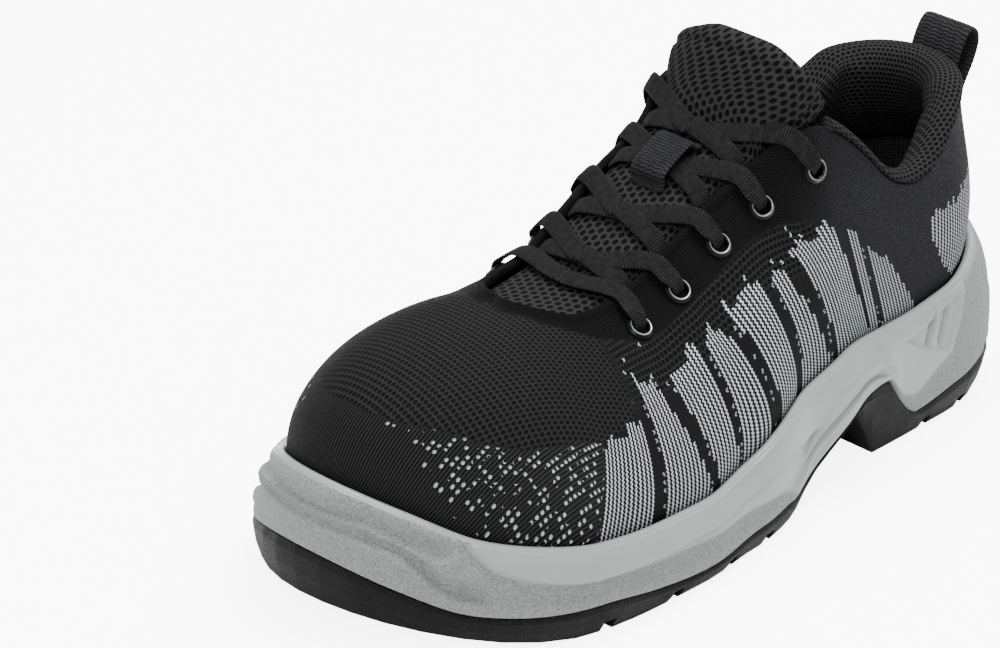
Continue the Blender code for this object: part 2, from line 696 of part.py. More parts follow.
def tongue():
    face = tongue_face()
    normal = np.cross(np.gradient(face, axis=0), np.gradient(face, axis=1))
    normal /= np.linalg.norm(normal, axis=2, keepdims=True)
    share = ease(np.arange(len(face)), len(TONGUE) - 3, len(face) - 1)
    thick = TONGUE_THICKNESS + (TONGUE_TIP_THICKNESS - TONGUE_THICKNESS) * share
    under = face - normal * thick[:, None, None]
    rings = [np.concatenate([face[i], under[i, ::-1]]) for i in range(len(face))]
    middle = rings[-1].mean(axis=0)
    beyond = rings[-1] + (rings[-1] - rings[-2]).mean(axis=0) * 1.2
    rings.append(middle + (beyond - middle) * 0.80)
    return swept("tongue", rings, material("tongue_mesh_black", (0.02, 0.02, 0.022), 0.85))


def eyelet_places():
    """Centre, outward normal and direction to the throat's edge of each eyelet, by side and number."""
    places = {}
    shares = np.linspace(0.6, 1.0, 41)
    inset = SIDE_BULGE + RIM_THICKNESS + GAP
    for side, word in ((-1.0, "lateral"), (1.0, "medial")):
        for number in range(EYELETS_PER_SIDE):
            x = EYELET_FRONT + (EYELET_REAR - EYELET_FRONT) * number / (EYELETS_PER_SIDE - 1)
            station = x / (SOLE_LENGTH - 2.0 * inset) + 0.5
            along = np.array([station - 0.01, station, station + 0.01])
            rows = upper_outer(along, np.full(3, side), shares)
            section = rows[:, 1]
            steps = np.linalg.norm(np.diff(section, axis=0), axis=1)
            left = np.concatenate([np.cumsum(steps[::-1])[::-1], [0.0]])
            spot = int(np.argmin(np.abs(left - EYELET_EDGE_DISTANCE)))
            inward = section[spot + 1] - section[spot - 1]
            forward = rows[spot, 2] - rows[spot, 0]
            normal = np.cross(inward, forward)
            normal *= np.sign(normal[1] * side + normal[2]) / np.linalg.norm(normal)
            places[word, number + 1] = (section[spot], normal, inward / np.linalg.norm(inward))
    return places


def frame_about(normal):
    """Two directions square to a normal and to each other."""
    first = np.cross(normal, (1.0, 0.0, 0.0))
    first /= np.linalg.norm(first)
    return first, np.cross(normal, first)


def turned(centre, normal, profile):
    """Points and faces of a closed profile of (radius, height) pairs turned about a normal."""
    first, second = frame_about(normal)
    rings = []
    for turn in range(ROUND_SEGMENTS):
        angle = 2.0 * math.pi * turn / ROUND_SEGMENTS
        out = first * math.cos(angle) + second * math.sin(angle)
        rings.append([centre + out * radius + normal * height for radius, height in profile])
    return rings


def eyelet(name, centre, normal, metal):
    base = SOFT_GAP
    barrel = EYELET_BORE + EYELET_WALL
    profile = (
        (EYELET_BORE, -UPPER_WALL),
        (barrel, -UPPER_WALL),
        (barrel, base),
        (EYELET_FLANGE, base),
        (EYELET_FLANGE - EYELET_HEIGHT * 0.5, base + EYELET_HEIGHT),
        (EYELET_BORE, base + EYELET_HEIGHT * 0.6),
    )
    rings = turned(centre, normal, profile)
    faces = ring_faces(len(rings), len(profile), closed=True)
    return solid(name, np.concatenate(rings), faces, metal)


def eyelet_hole(centre, normal):
    """Corners and faces of a round cut through the upper for one eyelet."""
    radius = EYELET_BORE + EYELET_WALL + GAP
    depth = UPPER_WALL * 2.0
    rings = turned(centre, normal, ((radius, -depth), (radius, depth)))
    points = np.array([[ring[0] for ring in rings], [ring[1] for ring in rings]])
    faces = ring_faces(2, ROUND_SEGMENTS)
    faces.append(tuple(range(ROUND_SEGMENTS)))
    faces.append(tuple(ROUND_SEGMENTS + i for i in range(ROUND_SEGMENTS)))
    return points.reshape(-1, 3), faces


def eyelets(above):
    metal = material("eyelet_black_metal", (0.03, 0.03, 0.032), 0.35, 1.0)
    places = eyelet_places()
    holes = []
    for (word, number), (centre, normal, _) in places.items():
        eyelet(f"eyelet_{word}_{number}", centre, normal, metal)
        holes.append(eyelet_hole(centre, normal))
    cut(above, joined("eyelet_holes", holes))


def over_tongue(x, share):
    """Point of the tongue's face at a place along the shoe and a share across, -1 to 1."""
    face = tongue_face()[:, TONGUE_SIDE_ROWS - 1:-(TONGUE_SIDE_ROWS - 1)]
    shares = np.array((-1.0,) + TONGUE_ARCH + (1.0,))
    row = np.array([[np.interp(x, face[:, i, 0], face[:, i, axis]) for axis in range(3)]
                    for i in range(face.shape[1])])
    return np.array([smooth(shares, row[:, axis], share) for axis in range(3)]).reshape(3)


def ribbon(name, centres, normals, width, thickness, finish=None):
    """A flat band along centres, with its faces square to the normals."""
    centres = np.array(centres)
    normals = np.array(normals)
    along = np.gradient(centres, axis=0)
    across = np.cross(along, normals)
    across *= (width / 2.0) / np.linalg.norm(across, axis=1, keepdims=True)
    normals = normals * (thickness / 2.0) / np.linalg.norm(normals, axis=1, keepdims=True)
    rings = [np.array([c + a + n, c - a + n, c - a - n, c + a - n])
             for c, a, n in zip(centres, across, normals)]
    return swept(name, rings, finish)


def across_tongue(start_x, end_x, side, lift, shares=LACE_SHARES):
    """Centres and normals of a lace over the tongue, from one edge of the throat to the other."""
    centres = []
    normals = []
    rise = LACE_GAP + LACE_THICKNESS * 0.5
    for share in shares:
        x = start_x + (end_x - start_x) * (share + 1.0) / 2.0
        across = -share * side
        spot = over_tongue(x, across)
        beside = over_tongue(x, across + 0.05) - spot
        behind = over_tongue(x + 0.002, across) - spot
        up = np.cross(behind, beside)
        up *= np.sign(up[2]) / np.linalg.norm(up)
        centres.append(spot + up * (rise + lift * max(0.0, 1.0 - abs(share) / 0.5)))
        normals.append(up)
    return centres, normals


def into_eyelet(place, last, end, side):
    """The lace's last three centres and normals, over the throat's edge and onto an eyelet."""
    centre, normal, _ = place
    top = centre + normal * (SOFT_GAP + EYELET_HEIGHT + GAP * 3.0 + LACE_THICKNESS * 0.5)
    reach = SOLE_LENGTH - 2.0 * (SIDE_BULGE + RIM_THICKNESS + GAP)
    station = np.array([(end + (centre[0] - end) * LACE_EDGE_SHARE) / reach + 0.5])
    edge = upper_outer(station, np.array([side]), (1.0,))[0, 0]
    edge[2] += LACE_THICKNESS * 0.5 + LACE_EDGE_RISE
    flat = edge - top - normal * np.dot(edge - top, normal)
    near = top + flat * (EYELET_FLANGE * 1.15 / np.linalg.norm(flat))
    return [edge, near, top], [(last + normal) / 2.0, normal, normal]


def unite(target, other):
    other.hide_render = True
    other.display_type = "WIRE"
    change = target.modifiers.new(other.name, "BOOLEAN")
    change.operation = "UNION"
    change.solver = "EXACT"
    change.object = other


def laces():
    """A straight bar over the first eyelets, then one crossing for each pair of eyelets behind."""
    cord = material("lace_woven_black", (0.025, 0.025, 0.028), 0.8)
    places = eyelet_places()
    centres, normals = across_tongue(EYELET_FRONT, EYELET_FRONT, 1.0, 0.0)
    first = into_eyelet(places["medial", 1], normals[0], EYELET_FRONT, 1.0)
    last = into_eyelet(places["lateral", 1], normals[-1], EYELET_FRONT, -1.0)
    ribbon("lace_bar", first[0][::-1] + centres + last[0], first[1][::-1] + normals + last[1],
           LACE_WIDTH, LACE_THICKNESS, cord)
    pitch = (EYELET_REAR - EYELET_FRONT) / (EYELETS_PER_SIDE - 1)
    for number in range(1, EYELETS_PER_SIDE):
        end = min(EYELET_FRONT + pitch * number - LACE_BACK, LACE_LAST)
        ahead = LACE_FIRST_START if number == 1 else LACE_START
        start = min(EYELET_FRONT + pitch * (number - 1) + ahead, LACE_LAST - LACE_LAST_RUN)
        bands = []
        for side, word, lift in ((1.0, "lateral", 0.0), (-1.0, "medial", LACE_THICKNESS * 0.6)):
            shares = LACE_SHARES[1:] if number == EYELETS_PER_SIDE - 1 else LACE_SHARES
            centres, normals = across_tongue(start, end, side, lift, shares)
            last = into_eyelet(places[word, number + 1], normals[-1], end, -side)
            finish = cord if not bands else None
            name = f"lace_crossing_{number}" if not bands else f"lace_over_{number}"
            bands.append(ribbon(name, centres + last[0], normals + last[1], LACE_WIDTH,
                                LACE_THICKNESS, finish))
        unite(*bands)


def lace_keeper():
    """Webbing sewn to the tongue at both ends, with a crossing of the lace under its middle."""
    pitch = (EYELET_REAR - EYELET_FRONT) / (EYELETS_PER_SIDE - 1)
    middle = EYELET_FRONT + pitch * (KEEPER_CROSSING - 0.5) + (LACE_START - LACE_BACK) * 0.5
    lift = LACE_GAP + LACE_THICKNESS * 1.6 + GAP
    centres = []
    normals = []
    for share, height in KEEPER_ARCH:
        x = middle + share * KEEPER_REACH
        spot = over_tongue(x, 0.0)
        slope = over_tongue(x + 0.001, 0.0) - over_tongue(x - 0.001, 0.0)
        up = np.array([-slope[2], 0.0, slope[0]]) / np.linalg.norm(slope)
        centres.append(spot + up * (GAP + WEBBING_THICKNESS * 0.5 + lift * height))
        normals.append(up)
    webbing = material("webbing_dark_grey", (0.05, 0.05, 0.052), 0.8)
    ribbon("tongue_lace_keeper", centres, normals, KEEPER_WIDTH, WEBBING_THICKNESS, webbing)


def heel_pull_loop():
    """Webbing folded into a loop that leans back from the seam at the heel's top edge."""
    shares = np.linspace(0.5, 1.0, 11)
    along, _ = around((0.98, 0.99, 1.0))
    outer = upper_outer(along, *around((0.98, 0.99, 1.0))[1:], shares)[:, int(np.argmax(along))]
    half = WEBBING_THICKNESS * 0.5
    foot = LOOP_TOP - LOOP_RISE
    way = np.array(LOOP_WAY)
    z = foot + way[:, 1] * (LOOP_RISE - half)
    x = np.interp(z, outer[:, 2], outer[:, 0]) + SOFT_GAP + half + way[:, 0] * (LOOP_REACH - half)
    centres = np.column_stack([x, np.full(len(x), outer[-1, 1]), z])
    step = np.gradient(centres, axis=0)
    normals = np.column_stack([step[:, 2], np.zeros(len(x)), -step[:, 0]])
    webbing = material("webbing_black", (0.018, 0.018, 0.02), 0.85)
    ribbon("heel_pull_loop", centres, normals, LOOP_WIDTH, WEBBING_THICKNESS, webbing)


for old in list(bpy.data.objects):
    bpy.data.objects.remove(old)
outsole()
midsole()
shell = upper()
insole()
collar_padding()
tongue()
eyelets(shell)
laces()
lace_keeper()
heel_pull_loop()
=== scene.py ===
"""Looks for the safety sneaker: knit, foam, rubber, padding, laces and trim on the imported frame.

The toe points along -X, the lateral side along -Y, and the ground is z = 0, all in metres.
"""
import math

import bmesh
import bpy
import numpy as np
from mathutils import Matrix, Vector


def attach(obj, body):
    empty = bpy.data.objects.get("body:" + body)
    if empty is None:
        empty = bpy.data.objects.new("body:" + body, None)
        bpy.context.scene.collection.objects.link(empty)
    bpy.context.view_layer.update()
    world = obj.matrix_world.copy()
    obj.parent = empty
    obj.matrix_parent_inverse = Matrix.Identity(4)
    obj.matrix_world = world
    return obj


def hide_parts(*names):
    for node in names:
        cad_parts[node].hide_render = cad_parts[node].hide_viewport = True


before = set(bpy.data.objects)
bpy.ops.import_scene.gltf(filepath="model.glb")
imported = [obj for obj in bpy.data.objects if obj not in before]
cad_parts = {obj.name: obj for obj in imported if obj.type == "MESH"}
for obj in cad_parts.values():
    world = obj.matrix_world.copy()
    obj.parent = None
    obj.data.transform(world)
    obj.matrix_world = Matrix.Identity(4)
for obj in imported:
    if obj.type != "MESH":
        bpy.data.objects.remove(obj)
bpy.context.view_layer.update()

# Sole sizes, in metres
SOLE_LENGTH = 0.300
BALL_WIDTH = 0.118
HEEL_WIDTH = 0.082
ARCH_HEIGHT = 0.0265
HEEL_STACK = 0.034
RIM_HEIGHT = 0.0560
RIM_THICKNESS = 0.003
SIDE_BULGE = 0.005
HEEL_LEAN = 0.0026
BACK_RIB_DEPTH = 0.0008

# Upper sizes
COLLAR_HEIGHT = 0.108
COLLAR_HALF_WIDTH = 0.031
UPPER_WALL = 0.0024
THROAT_CENTRE = -0.052
COLLAR_CENTRE = 0.106
FAN_SOFTNESS = 0.016
TOE_OFFSET = 0.0088
HEEL_OFFSET = 0.0008
INSOLE_THICKNESS = 0.005
PADDING_THICKNESS = 0.0085
PADDING_ROLL = 0.0042

# Tongue, lace and trim sizes
TONGUE_THICKNESS = 0.0055
TONGUE_TIP_THICKNESS = 0.011
TONGUE_RISE = 0.018
TONGUE_TIP = (0.030, 0.137)
TONGUE_TIP_CORNER = (0.046, 0.1185)
TONGUE_TIP_HALF_WIDTH = 0.0295
TONGUE_TIP_OFFSET = 0.0015
TONGUE_FRONT_ROUND = 0.003
SEAM_DEPTH = 0.0011
SEAM_INSET = 0.0062
SEAM_WIDTH = 0.0009
EYELETS_PER_SIDE = 5
EYELET_FRONT = -0.0405
EYELET_REAR = 0.0355
EYELET_EDGE_DISTANCE = 0.0120
EYELET_FLANGE = 0.0047
EYELET_BORE = 0.0024
EYELET_WALL = 0.0006
EYELET_HEIGHT = 0.0011
LACE_WIDTH = 0.0066
LACE_THICKNESS = 0.0016
LACE_FIRST_START = 0.0086
LACE_START = 0.0050
LACE_BACK = 0.0080
LACE_LAST = 0.0195
LACE_LAST_RUN = 0.0025
LACE_EDGE_RISE = 0.0028
LACE_EDGE_SHARE = 0.5
LACE_TAUT = 0.75

# The lace's way into the eyelet's bore: how far towards the throat and how far out of the knit,
# first from the top of the ring and then from the bore's mouth, and its width there
LACE_LIP = (0.0016, -0.0003)
LACE_MOUTH = (-0.0006, -0.0002)
LACE_END = (-0.0010, -0.0040)
LACE_MOUTH_WIDTH = 0.0042
LACE_END_WIDTH = 0.0040
KEEPER_WIDTH = 0.013
KEEPER_REACH = 0.0084
KEEPER_CROSSING = 3
WEBBING_THICKNESS = 0.0015
WEBBING_BUMP = 0.00022
LOOP_WIDTH = 0.019
LOOP_TOP = 0.1170
LOOP_RISE = 0.021
LOOP_REACH = 0.0118

# Clearances
GAP = 0.0003
SOFT_GAP = 0.0006
TONGUE_GAP = 0.0009
LACE_GAP = 0.0009


# Widths of the outline, as shares of the width that runs from ball to heel
OUTLINE_COLUMNS = ("station", "lateral", "medial")
OUTLINE = (
    (0.00, 0.345, 0.475),
    (0.03, 0.385, 0.475),
    (0.10, 0.445, 0.490),
    (0.20, 0.485, 0.500),
    (0.30, 0.500, 0.500),
    (0.36, 0.500, 0.490),
    (0.45, 0.475, 0.445),
    (0.55, 0.470, 0.420),
    (0.65, 0.523, 0.448),
    (0.75, 0.517, 0.461),
    (0.85, 0.503, 0.475),
    (0.93, 0.496, 0.483),
    (1.00, 0.496, 0.483),
)

# Heights along the sole: parting line as a share of the arch height, deck of the heel stack, and
# rim of the rim height
SIDE_COLUMNS = ("station", "parting", "deck", "rim")
SIDE = (
    (0.000, 0.950, 0.740, 0.820),
    (0.030, 0.740, 0.660, 0.740),
    (0.080, 0.500, 0.570, 0.608),
    (0.140, 0.440, 0.520, 0.540),
    (0.200, 0.420, 0.490, 0.490),
    (0.270, 0.320, 0.470, 0.462),
    (0.350, 0.240, 0.480, 0.458),
    (0.430, 0.290, 0.540, 0.520),
    (0.500, 0.350, 0.640, 0.615),
    (0.530, 0.370, 0.700, 0.650),
    (0.555, 0.440, 0.750, 0.675),
    (0.600, 0.640, 0.830, 0.705),
    (0.650, 0.870, 0.905, 0.732),
    (0.670, 0.950, 0.930, 0.738),
    (0.710, 1.000, 0.960, 0.745),
    (0.745, 0.560, 0.975, 0.750),
    (0.775, 0.335, 0.985, 0.755),
    (0.850, 0.440, 1.000, 0.800),
    (0.930, 0.610, 1.000, 0.880),
    (1.000, 0.830, 1.000, 0.940),
)

# Sections of the upper, a row for each station: half opening on either side as a share of the
# collar's half width, edge height as a share of the collar's height, and the section's handles as
# shares of its rise (up, down) and of its run (out at the edge) or of the rise again (out at the
# start)
UPPER_COLUMNS = ("station", "opening", "medial_opening", "edge", "medial_edge", "start_out",
                 "start_up", "end_out", "end_down")
UPPER = (
    (0.000, 0.500, 0.500, 0.710, 0.710, 0.03, 0.84, 0.42, -0.04),
    (0.060, 0.500, 0.500, 0.708, 0.708, 0.04, 0.80, 0.42, -0.02),
    (0.130, 0.510, 0.510, 0.700, 0.700, 0.05, 0.72, 0.42, 0.02),
    (0.200, 0.530, 0.530, 0.690, 0.690, 0.05, 0.60, 0.42, 0.06),
    (0.280, 0.560, 0.560, 0.680, 0.680, 0.05, 0.52, 0.42, 0.10),
    (0.350, 0.585, 0.585, 0.690, 0.690, 0.05, 0.46, 0.40, 0.14),
    (0.420, 0.600, 0.648, 0.760, 0.760, 0.05, 0.42, 0.36, 0.18),
    (0.500, 0.600, 0.708, 0.868, 0.868, 0.05, 0.40, 0.36, 0.20),
    (0.545, 0.620, 0.732, 0.922, 0.922, 0.04, 0.38, 0.38, 0.22),
    (0.575, 0.680, 0.802, 0.972, 0.972, 0.04, 0.38, 0.36, 0.22),
    (0.600, 0.780, 0.920, 1.022, 1.022, 0.03, 0.36, 0.32, 0.22),
    (0.635, 0.880, 0.997, 1.040, 1.046, 0.02, 0.34, 0.26, 0.24),
    (0.665, 0.930, 1.018, 1.005, 1.017, 0.02, 0.32, 0.20, 0.26),
    (0.690, 0.955, 1.022, 0.958, 0.978, 0.02, 0.32, 0.16, 0.28),
    (0.715, 0.975, 1.019, 0.900, 0.928, 0.02, 0.32, 0.14, 0.30),
    (0.740, 0.990, 1.025, 0.838, 0.875, 0.02, 0.32, 0.12, 0.32),
    (0.765, 1.000, 1.030, 0.795, 0.841, 0.02, 0.32, 0.11, 0.34),
    (0.790, 1.000, 1.030, 0.778, 0.827, 0.02, 0.32, 0.10, 0.34),
    (0.820, 0.990, 1.020, 0.795, 0.844, 0.02, 0.33, 0.12, 0.34),
    (0.850, 0.950, 0.978, 0.850, 0.895, 0.02, 0.34, 0.17, 0.34),
    (0.880, 0.890, 0.917, 0.905, 0.943, 0.03, 0.36, 0.22, 0.34),
    (0.930, 0.800, 0.800, 0.955, 0.967, 0.04, 0.38, 0.30, 0.34),
    (1.000, 0.770, 0.770, 0.975, 0.975, 0.05, 0.40, 0.36, 0.34),
)
UPPER_STATIONS = (0.0, 0.012, 0.03, 0.055, 0.085, 0.12, 0.155, 0.19, 0.225, 0.26, 0.295, 0.33,
                  0.365, 0.40, 0.435, 0.47, 0.505, 0.535, 0.56, 0.58, 0.60, 0.62, 0.645, 0.67,
                  0.695, 0.72, 0.745, 0.77, 0.80, 0.83, 0.86, 0.89, 0.92, 0.945, 0.965, 0.985, 1.0)
SECTION_SHARES = (0.0, 0.14, 0.28, 0.42, 0.56, 0.70, 0.83, 0.93, 1.0)

# The tongue under the throat, a row for each station: how far its crown rises above the throat's
# edges, as a share of the tongue's rise
TONGUE_COLUMNS = ("station", "rise")
TONGUE = (
    (0.10, 0.00),
    (0.18, 0.04),
    (0.26, 0.10),
    (0.32, 0.14),
    (0.37, 0.17),
    (0.42, 0.20),
    (0.47, 0.24),
    (0.52, 0.27),
    (0.555, 0.30),
    (0.570, 0.32),
)
TONGUE_SIDE_ROWS = 3
TONGUE_ARCH = (-0.86, -0.52, 0.0, 0.52, 0.86)

# The free end of the tongue: crown and corners as shares of the way from the throat's last row
# to the tip, and the half width there as a share of the tip's
TIP = (
    (0.30, 0.30, 0.75),
    (0.62, 0.62, 0.93),
    (0.90, 0.92, 1.00),
    (1.00, 1.00, 0.98),
)
TIP_ARCH = (-1.0, -0.97, -0.92, -0.80, -0.46, 0.0, 0.46, 0.80, 0.92, 0.97, 1.0)

# The lace's way over the tongue as shares across from where it starts, and the keeper's arch and
# the pull loop's way, each as pairs of shares
LACE_SHARES = (-0.80, -0.50, -0.22, 0.0, 0.22, 0.50, 0.80)
KEEPER_ARCH = ((-1.0, 0.0), (-0.88, 0.2), (-0.62, 1.0), (0.62, 1.0), (0.88, 0.2), (1.0, 0.0))
LOOP_WAY = ((0.00, 0.20), (0.01, 0.36), (0.06, 0.52), (0.20, 0.76), (0.40, 0.94), (0.64, 1.00),
            (0.88, 0.92), (0.98, 0.74), (0.88, 0.48), (0.58, 0.24), (0.30, 0.04), (0.17, -0.14))

# The collar's padding starts at a station of its own, and follows these shares of the sections
PADDING_FRONT = 0.65
PADDING_END = 0.30
PADDING_TAPER = 0.16
PADDING_BELLY = (0.20, 0.62, 0.92, 1.05, 1.08, 1.0)


def smooth(knots, values, at):
    """Monotone cubic through a column of a table, which never overshoots the rows."""
    knots = np.asarray(knots, float)
    values = np.asarray(values, float)
    step = np.diff(knots)
    rise = np.diff(values) / step
    before = rise[:-1]
    after = rise[1:]
    level = before * after <= 0.0
    before = np.where(level, 1.0, before)
    after = np.where(level, 1.0, after)
    first = 2.0 * step[1:] + step[:-1]
    second = step[1:] + 2.0 * step[:-1]
    inner = np.where(level, 0.0, (first + second) / (first / before + second / after))
    slope = np.concatenate([[rise[0]], inner, [rise[-1]]])
    at = np.clip(np.asarray(at, float), knots[0], knots[-1])
    row = np.clip(np.searchsorted(knots, at, side="right") - 1, 0, len(step) - 1)
    share = (at - knots[row]) / step[row]
    rest = 1.0 - share
    ends = (values[row] * (1.0 + 2.0 * share) * rest**2
            + values[row + 1] * (3.0 - 2.0 * share) * share**2)
    turns = slope[row] * share * rest**2 - slope[row + 1] * rest * share**2
    return ends + turns * step[row]


def column(table, names, name, at):
    """One named column of a table, read between its rows."""
    rows = np.array(table)
    return smooth(rows[:, 0], rows[:, names.index(name)], at)


def unit(vectors):
    """The vectors of the last axis, each made one long."""
    return vectors / np.linalg.norm(vectors, axis=-1, keepdims=True)


def travelled(points):
    """Length of the way along the first axis up to each point."""
    steps = np.linalg.norm(np.diff(points, axis=0), axis=-1)
    return np.concatenate([np.zeros_like(steps[:1]), np.cumsum(steps, axis=0)])


def ease(value, low, high):
    """Smooth step from 0 at low to 1 at high."""
    share = np.clip((value - low) / (high - low), 0.0, 1.0)
    return share * share * (3.0 - 2.0 * share)


def bell(value, width):
    """1 at 0, falling softly to both sides."""
    return np.exp(-(value / width)**2)


def round_end(distance, reach, power):
    """Rises from 0 at the tip to 1 at the reach, like the end of a last."""
    left = np.clip(1.0 - distance / reach, 0.0, 1.0)
    return np.sqrt(1.0 - left**power)


def outline(station, side, inset):
    """Plan of the sole at a distance inside its edge: side is -1 lateral, +1 medial."""
    width = BALL_WIDTH + (HEEL_WIDTH - BALL_WIDTH) * ease(station, 0.45, 0.70)
    lateral = -column(OUTLINE, OUTLINE_COLUMNS, "lateral", station) * (width - 2.0 * inset)
    medial = column(OUTLINE, OUTLINE_COLUMNS, "medial", station) * (width - 2.0 * inset)
    y = np.where(side < 0, lateral, medial)
    y = TOE_OFFSET + (y - TOE_OFFSET) * round_end(station, 0.22, 2.3)
    y = HEEL_OFFSET + (y - HEEL_OFFSET) * round_end(1.0 - station, 0.15, 2.2)
    return (station - 0.5) * (SOLE_LENGTH - 2.0 * inset), y


def parting_height(station):
    """Where the rubber meets the foam."""
    return column(SIDE, SIDE_COLUMNS, "parting", station) * ARCH_HEIGHT


def deck_height(station):
    """The floor of the foam cup."""
    return column(SIDE, SIDE_COLUMNS, "deck", station) * HEEL_STACK


def rim_height(station):
    """The top of the foam cup's wall."""
    return column(SIDE, SIDE_COLUMNS, "rim", station) * RIM_HEIGHT


def around(stations):
    """Stations and sides once around the shoe: lateral toe to heel, then medial heel to toe."""
    stations = np.asarray(stations, float)
    along = np.concatenate([stations, stations[-2:0:-1]])
    sides = np.concatenate([-np.ones(len(stations)), np.ones(len(stations) - 2)])
    return along, sides


def centre_line(x):
    """Ridge of the instep, on the medial side as far as the throat, and central at the collar."""
    return TOE_OFFSET + (HEEL_OFFSET - TOE_OFFSET) * ease(x, 0.0, COLLAR_CENTRE)


def soft_clamp(x):
    """Spine place of each section: level with it between throat and collar, and fanned beyond."""
    low = 0.5 * (x + THROAT_CENTRE + np.sqrt((x - THROAT_CENTRE)**2 + FAN_SOFTNESS**2))
    return 0.5 * (low + COLLAR_CENTRE - np.sqrt((low - COLLAR_CENTRE)**2 + FAN_SOFTNESS**2))


def section_frame(along, sides):
    """Foot and edge of each section of the upper, and the level direction that faces out."""
    inset = SIDE_BULGE + RIM_THICKNESS + GAP + HEEL_LEAN * ease(along, 0.84, 0.98)
    x, y = outline(along, sides, inset)
    foot = np.column_stack([x, y, rim_height(along)])
    spine_x = soft_clamp(x)
    spine = np.column_stack([spine_x, centre_line(spine_x)])
    out = foot[:, :2] - spine
    run = np.linalg.norm(out, axis=1)
    out = out / run[:, None]
    read = {name: column(UPPER, UPPER_COLUMNS, name, along) for name in UPPER_COLUMNS[1:5]}
    opening = np.where(sides < 0.0, read["opening"], read["medial_opening"]) * COLLAR_HALF_WIDTH
    height = np.where(sides < 0.0, read["edge"], read["medial_edge"]) * COLLAR_HEIGHT
    edge = np.column_stack([spine + out * opening[:, None], height])
    return foot, edge, np.column_stack([out, np.zeros(len(out))]), run - opening


def upper_outer(along, sides, shares):
    """Outer face of the upper above the rim: one cubic section for each station."""
    foot, edge, out, run = section_frame(along, sides)
    rise = (edge[:, 2] - foot[:, 2])[:, None]
    up = np.array([0.0, 0.0, 1.0])
    read = {name: column(UPPER, UPPER_COLUMNS, name, along)[:, None] for name in UPPER_COLUMNS[5:]}
    first = foot + out * read["start_out"] * rise + up * read["start_up"] * rise
    second = edge + out * read["end_out"] * run[:, None] - up * read["end_down"] * rise
    rows = []
    for share in shares:
        rest = 1.0 - share
        rows.append(rest**3 * foot + 3 * rest**2 * share * first + 3 * rest * share**2 * second
                    + share**3 * edge)
    return np.array(rows)


def grid_normals(rows):
    """Normals of a grid of points whose rows are closed rings, facing away from the shoe."""
    across = np.roll(rows, -1, axis=1) - np.roll(rows, 1, axis=1)
    up = np.gradient(rows, axis=0)
    return unit(np.cross(across, up))


def upper_faces(stations, shares):
    """Outer and inner face of the upper as rows of rings, from its lower edge to its opening."""
    along, sides = around(stations)
    above = upper_outer(along, sides, shares)
    below = above[0].copy()
    below[:, 2] = deck_height(along) + GAP
    outer = np.concatenate([below[None], above])
    normal = grid_normals(outer)
    normal[0] = unit(normal[1] * (1.0, 1.0, 0.0))
    inner = outer - normal * UPPER_WALL
    return outer, inner, normal


def arch(share):
    """Height of a full arch, 1 at its crown and 0 at its feet."""
    return (1.0 - np.abs(share)**2.8)**0.55


def tongue_face():
    """Outer face of the tongue: rows under the throat's edges, then the free end above them."""
    stations = np.array([row[0] for row in TONGUE])
    crown = column(TONGUE, TONGUE_COLUMNS, "rise", stations) * TONGUE_RISE
    along = np.concatenate([stations, stations])
    sides = np.concatenate([-np.ones(len(stations)), np.ones(len(stations))])
    _, inner, normal = upper_faces(UPPER_STATIONS, SECTION_SHARES)
    ring_along, ring_sides = around(UPPER_STATIONS)
    rows = []
    for station, rise in zip(stations, crown):
        feet = []
        for side in (-1.0, 1.0):
            picked = np.flatnonzero((ring_sides == side) | (ring_along % 1.0 == 0.0))
            order = picked[np.argsort(ring_along[picked])]
            under = (inner - normal * TONGUE_GAP)[-TONGUE_SIDE_ROWS:, order]
            feet.append([[np.interp(station, ring_along[order], row[:, axis]) for axis in range(3)]
                         for row in under])
        lateral, medial = np.array(feet)
        across = (np.array(TONGUE_ARCH)[:, None] + 1.0) / 2.0
        middle = lateral[-1] + (medial[-1] - lateral[-1]) * across
        middle[:, 2] += rise * arch(np.array(TONGUE_ARCH))
        rows.append(np.concatenate([lateral, middle, medial[::-1]]))
    last = rows[-1]
    crown_start = last[len(last) // 2, [0, 2]]
    corner_start = (last[0] + last[-1])[[0, 2]] / 2.0
    shape = ((1.0 - np.abs(np.array(TIP_ARCH))**3.6)**0.5)[:, None]
    spread = np.array(TIP_ARCH)
    for crown_share, corner_share, width_share in TIP:
        top = crown_start + (TONGUE_TIP - crown_start) * crown_share
        foot = corner_start + (TONGUE_TIP_CORNER - corner_start) * corner_share
        place = foot + (top - foot) * shape
        half = TONGUE_TIP_HALF_WIDTH * width_share
        across = centre_line(foot[0]) + TONGUE_TIP_OFFSET + spread * half
        rows.append(np.column_stack([place[:, 0], across, place[:, 1]]))
    return np.array(rows)


def eyelet_places():
    """Centre and outward normal of each eyelet, by side and number."""
    places = {}
    shares = np.linspace(0.6, 1.0, 41)
    inset = SIDE_BULGE + RIM_THICKNESS + GAP
    for side, word in ((-1.0, "lateral"), (1.0, "medial")):
        for number in range(EYELETS_PER_SIDE):
            x = EYELET_FRONT + (EYELET_REAR - EYELET_FRONT) * number / (EYELETS_PER_SIDE - 1)
            station = x / (SOLE_LENGTH - 2.0 * inset) + 0.5
            along = np.array([station - 0.01, station, station + 0.01])
            rows = upper_outer(along, np.full(3, side), shares)
            section = rows[:, 1]
            left = travelled(section[::-1])[::-1]
            spot = int(np.argmin(np.abs(left - EYELET_EDGE_DISTANCE)))
            inward = section[spot + 1] - section[spot - 1]
            forward = rows[spot, 2] - rows[spot, 0]
            normal = np.cross(inward, forward)
            normal *= np.sign(normal[1] * side + normal[2]) / np.linalg.norm(normal)
            places[word, number + 1] = (section[spot], normal)
    return places


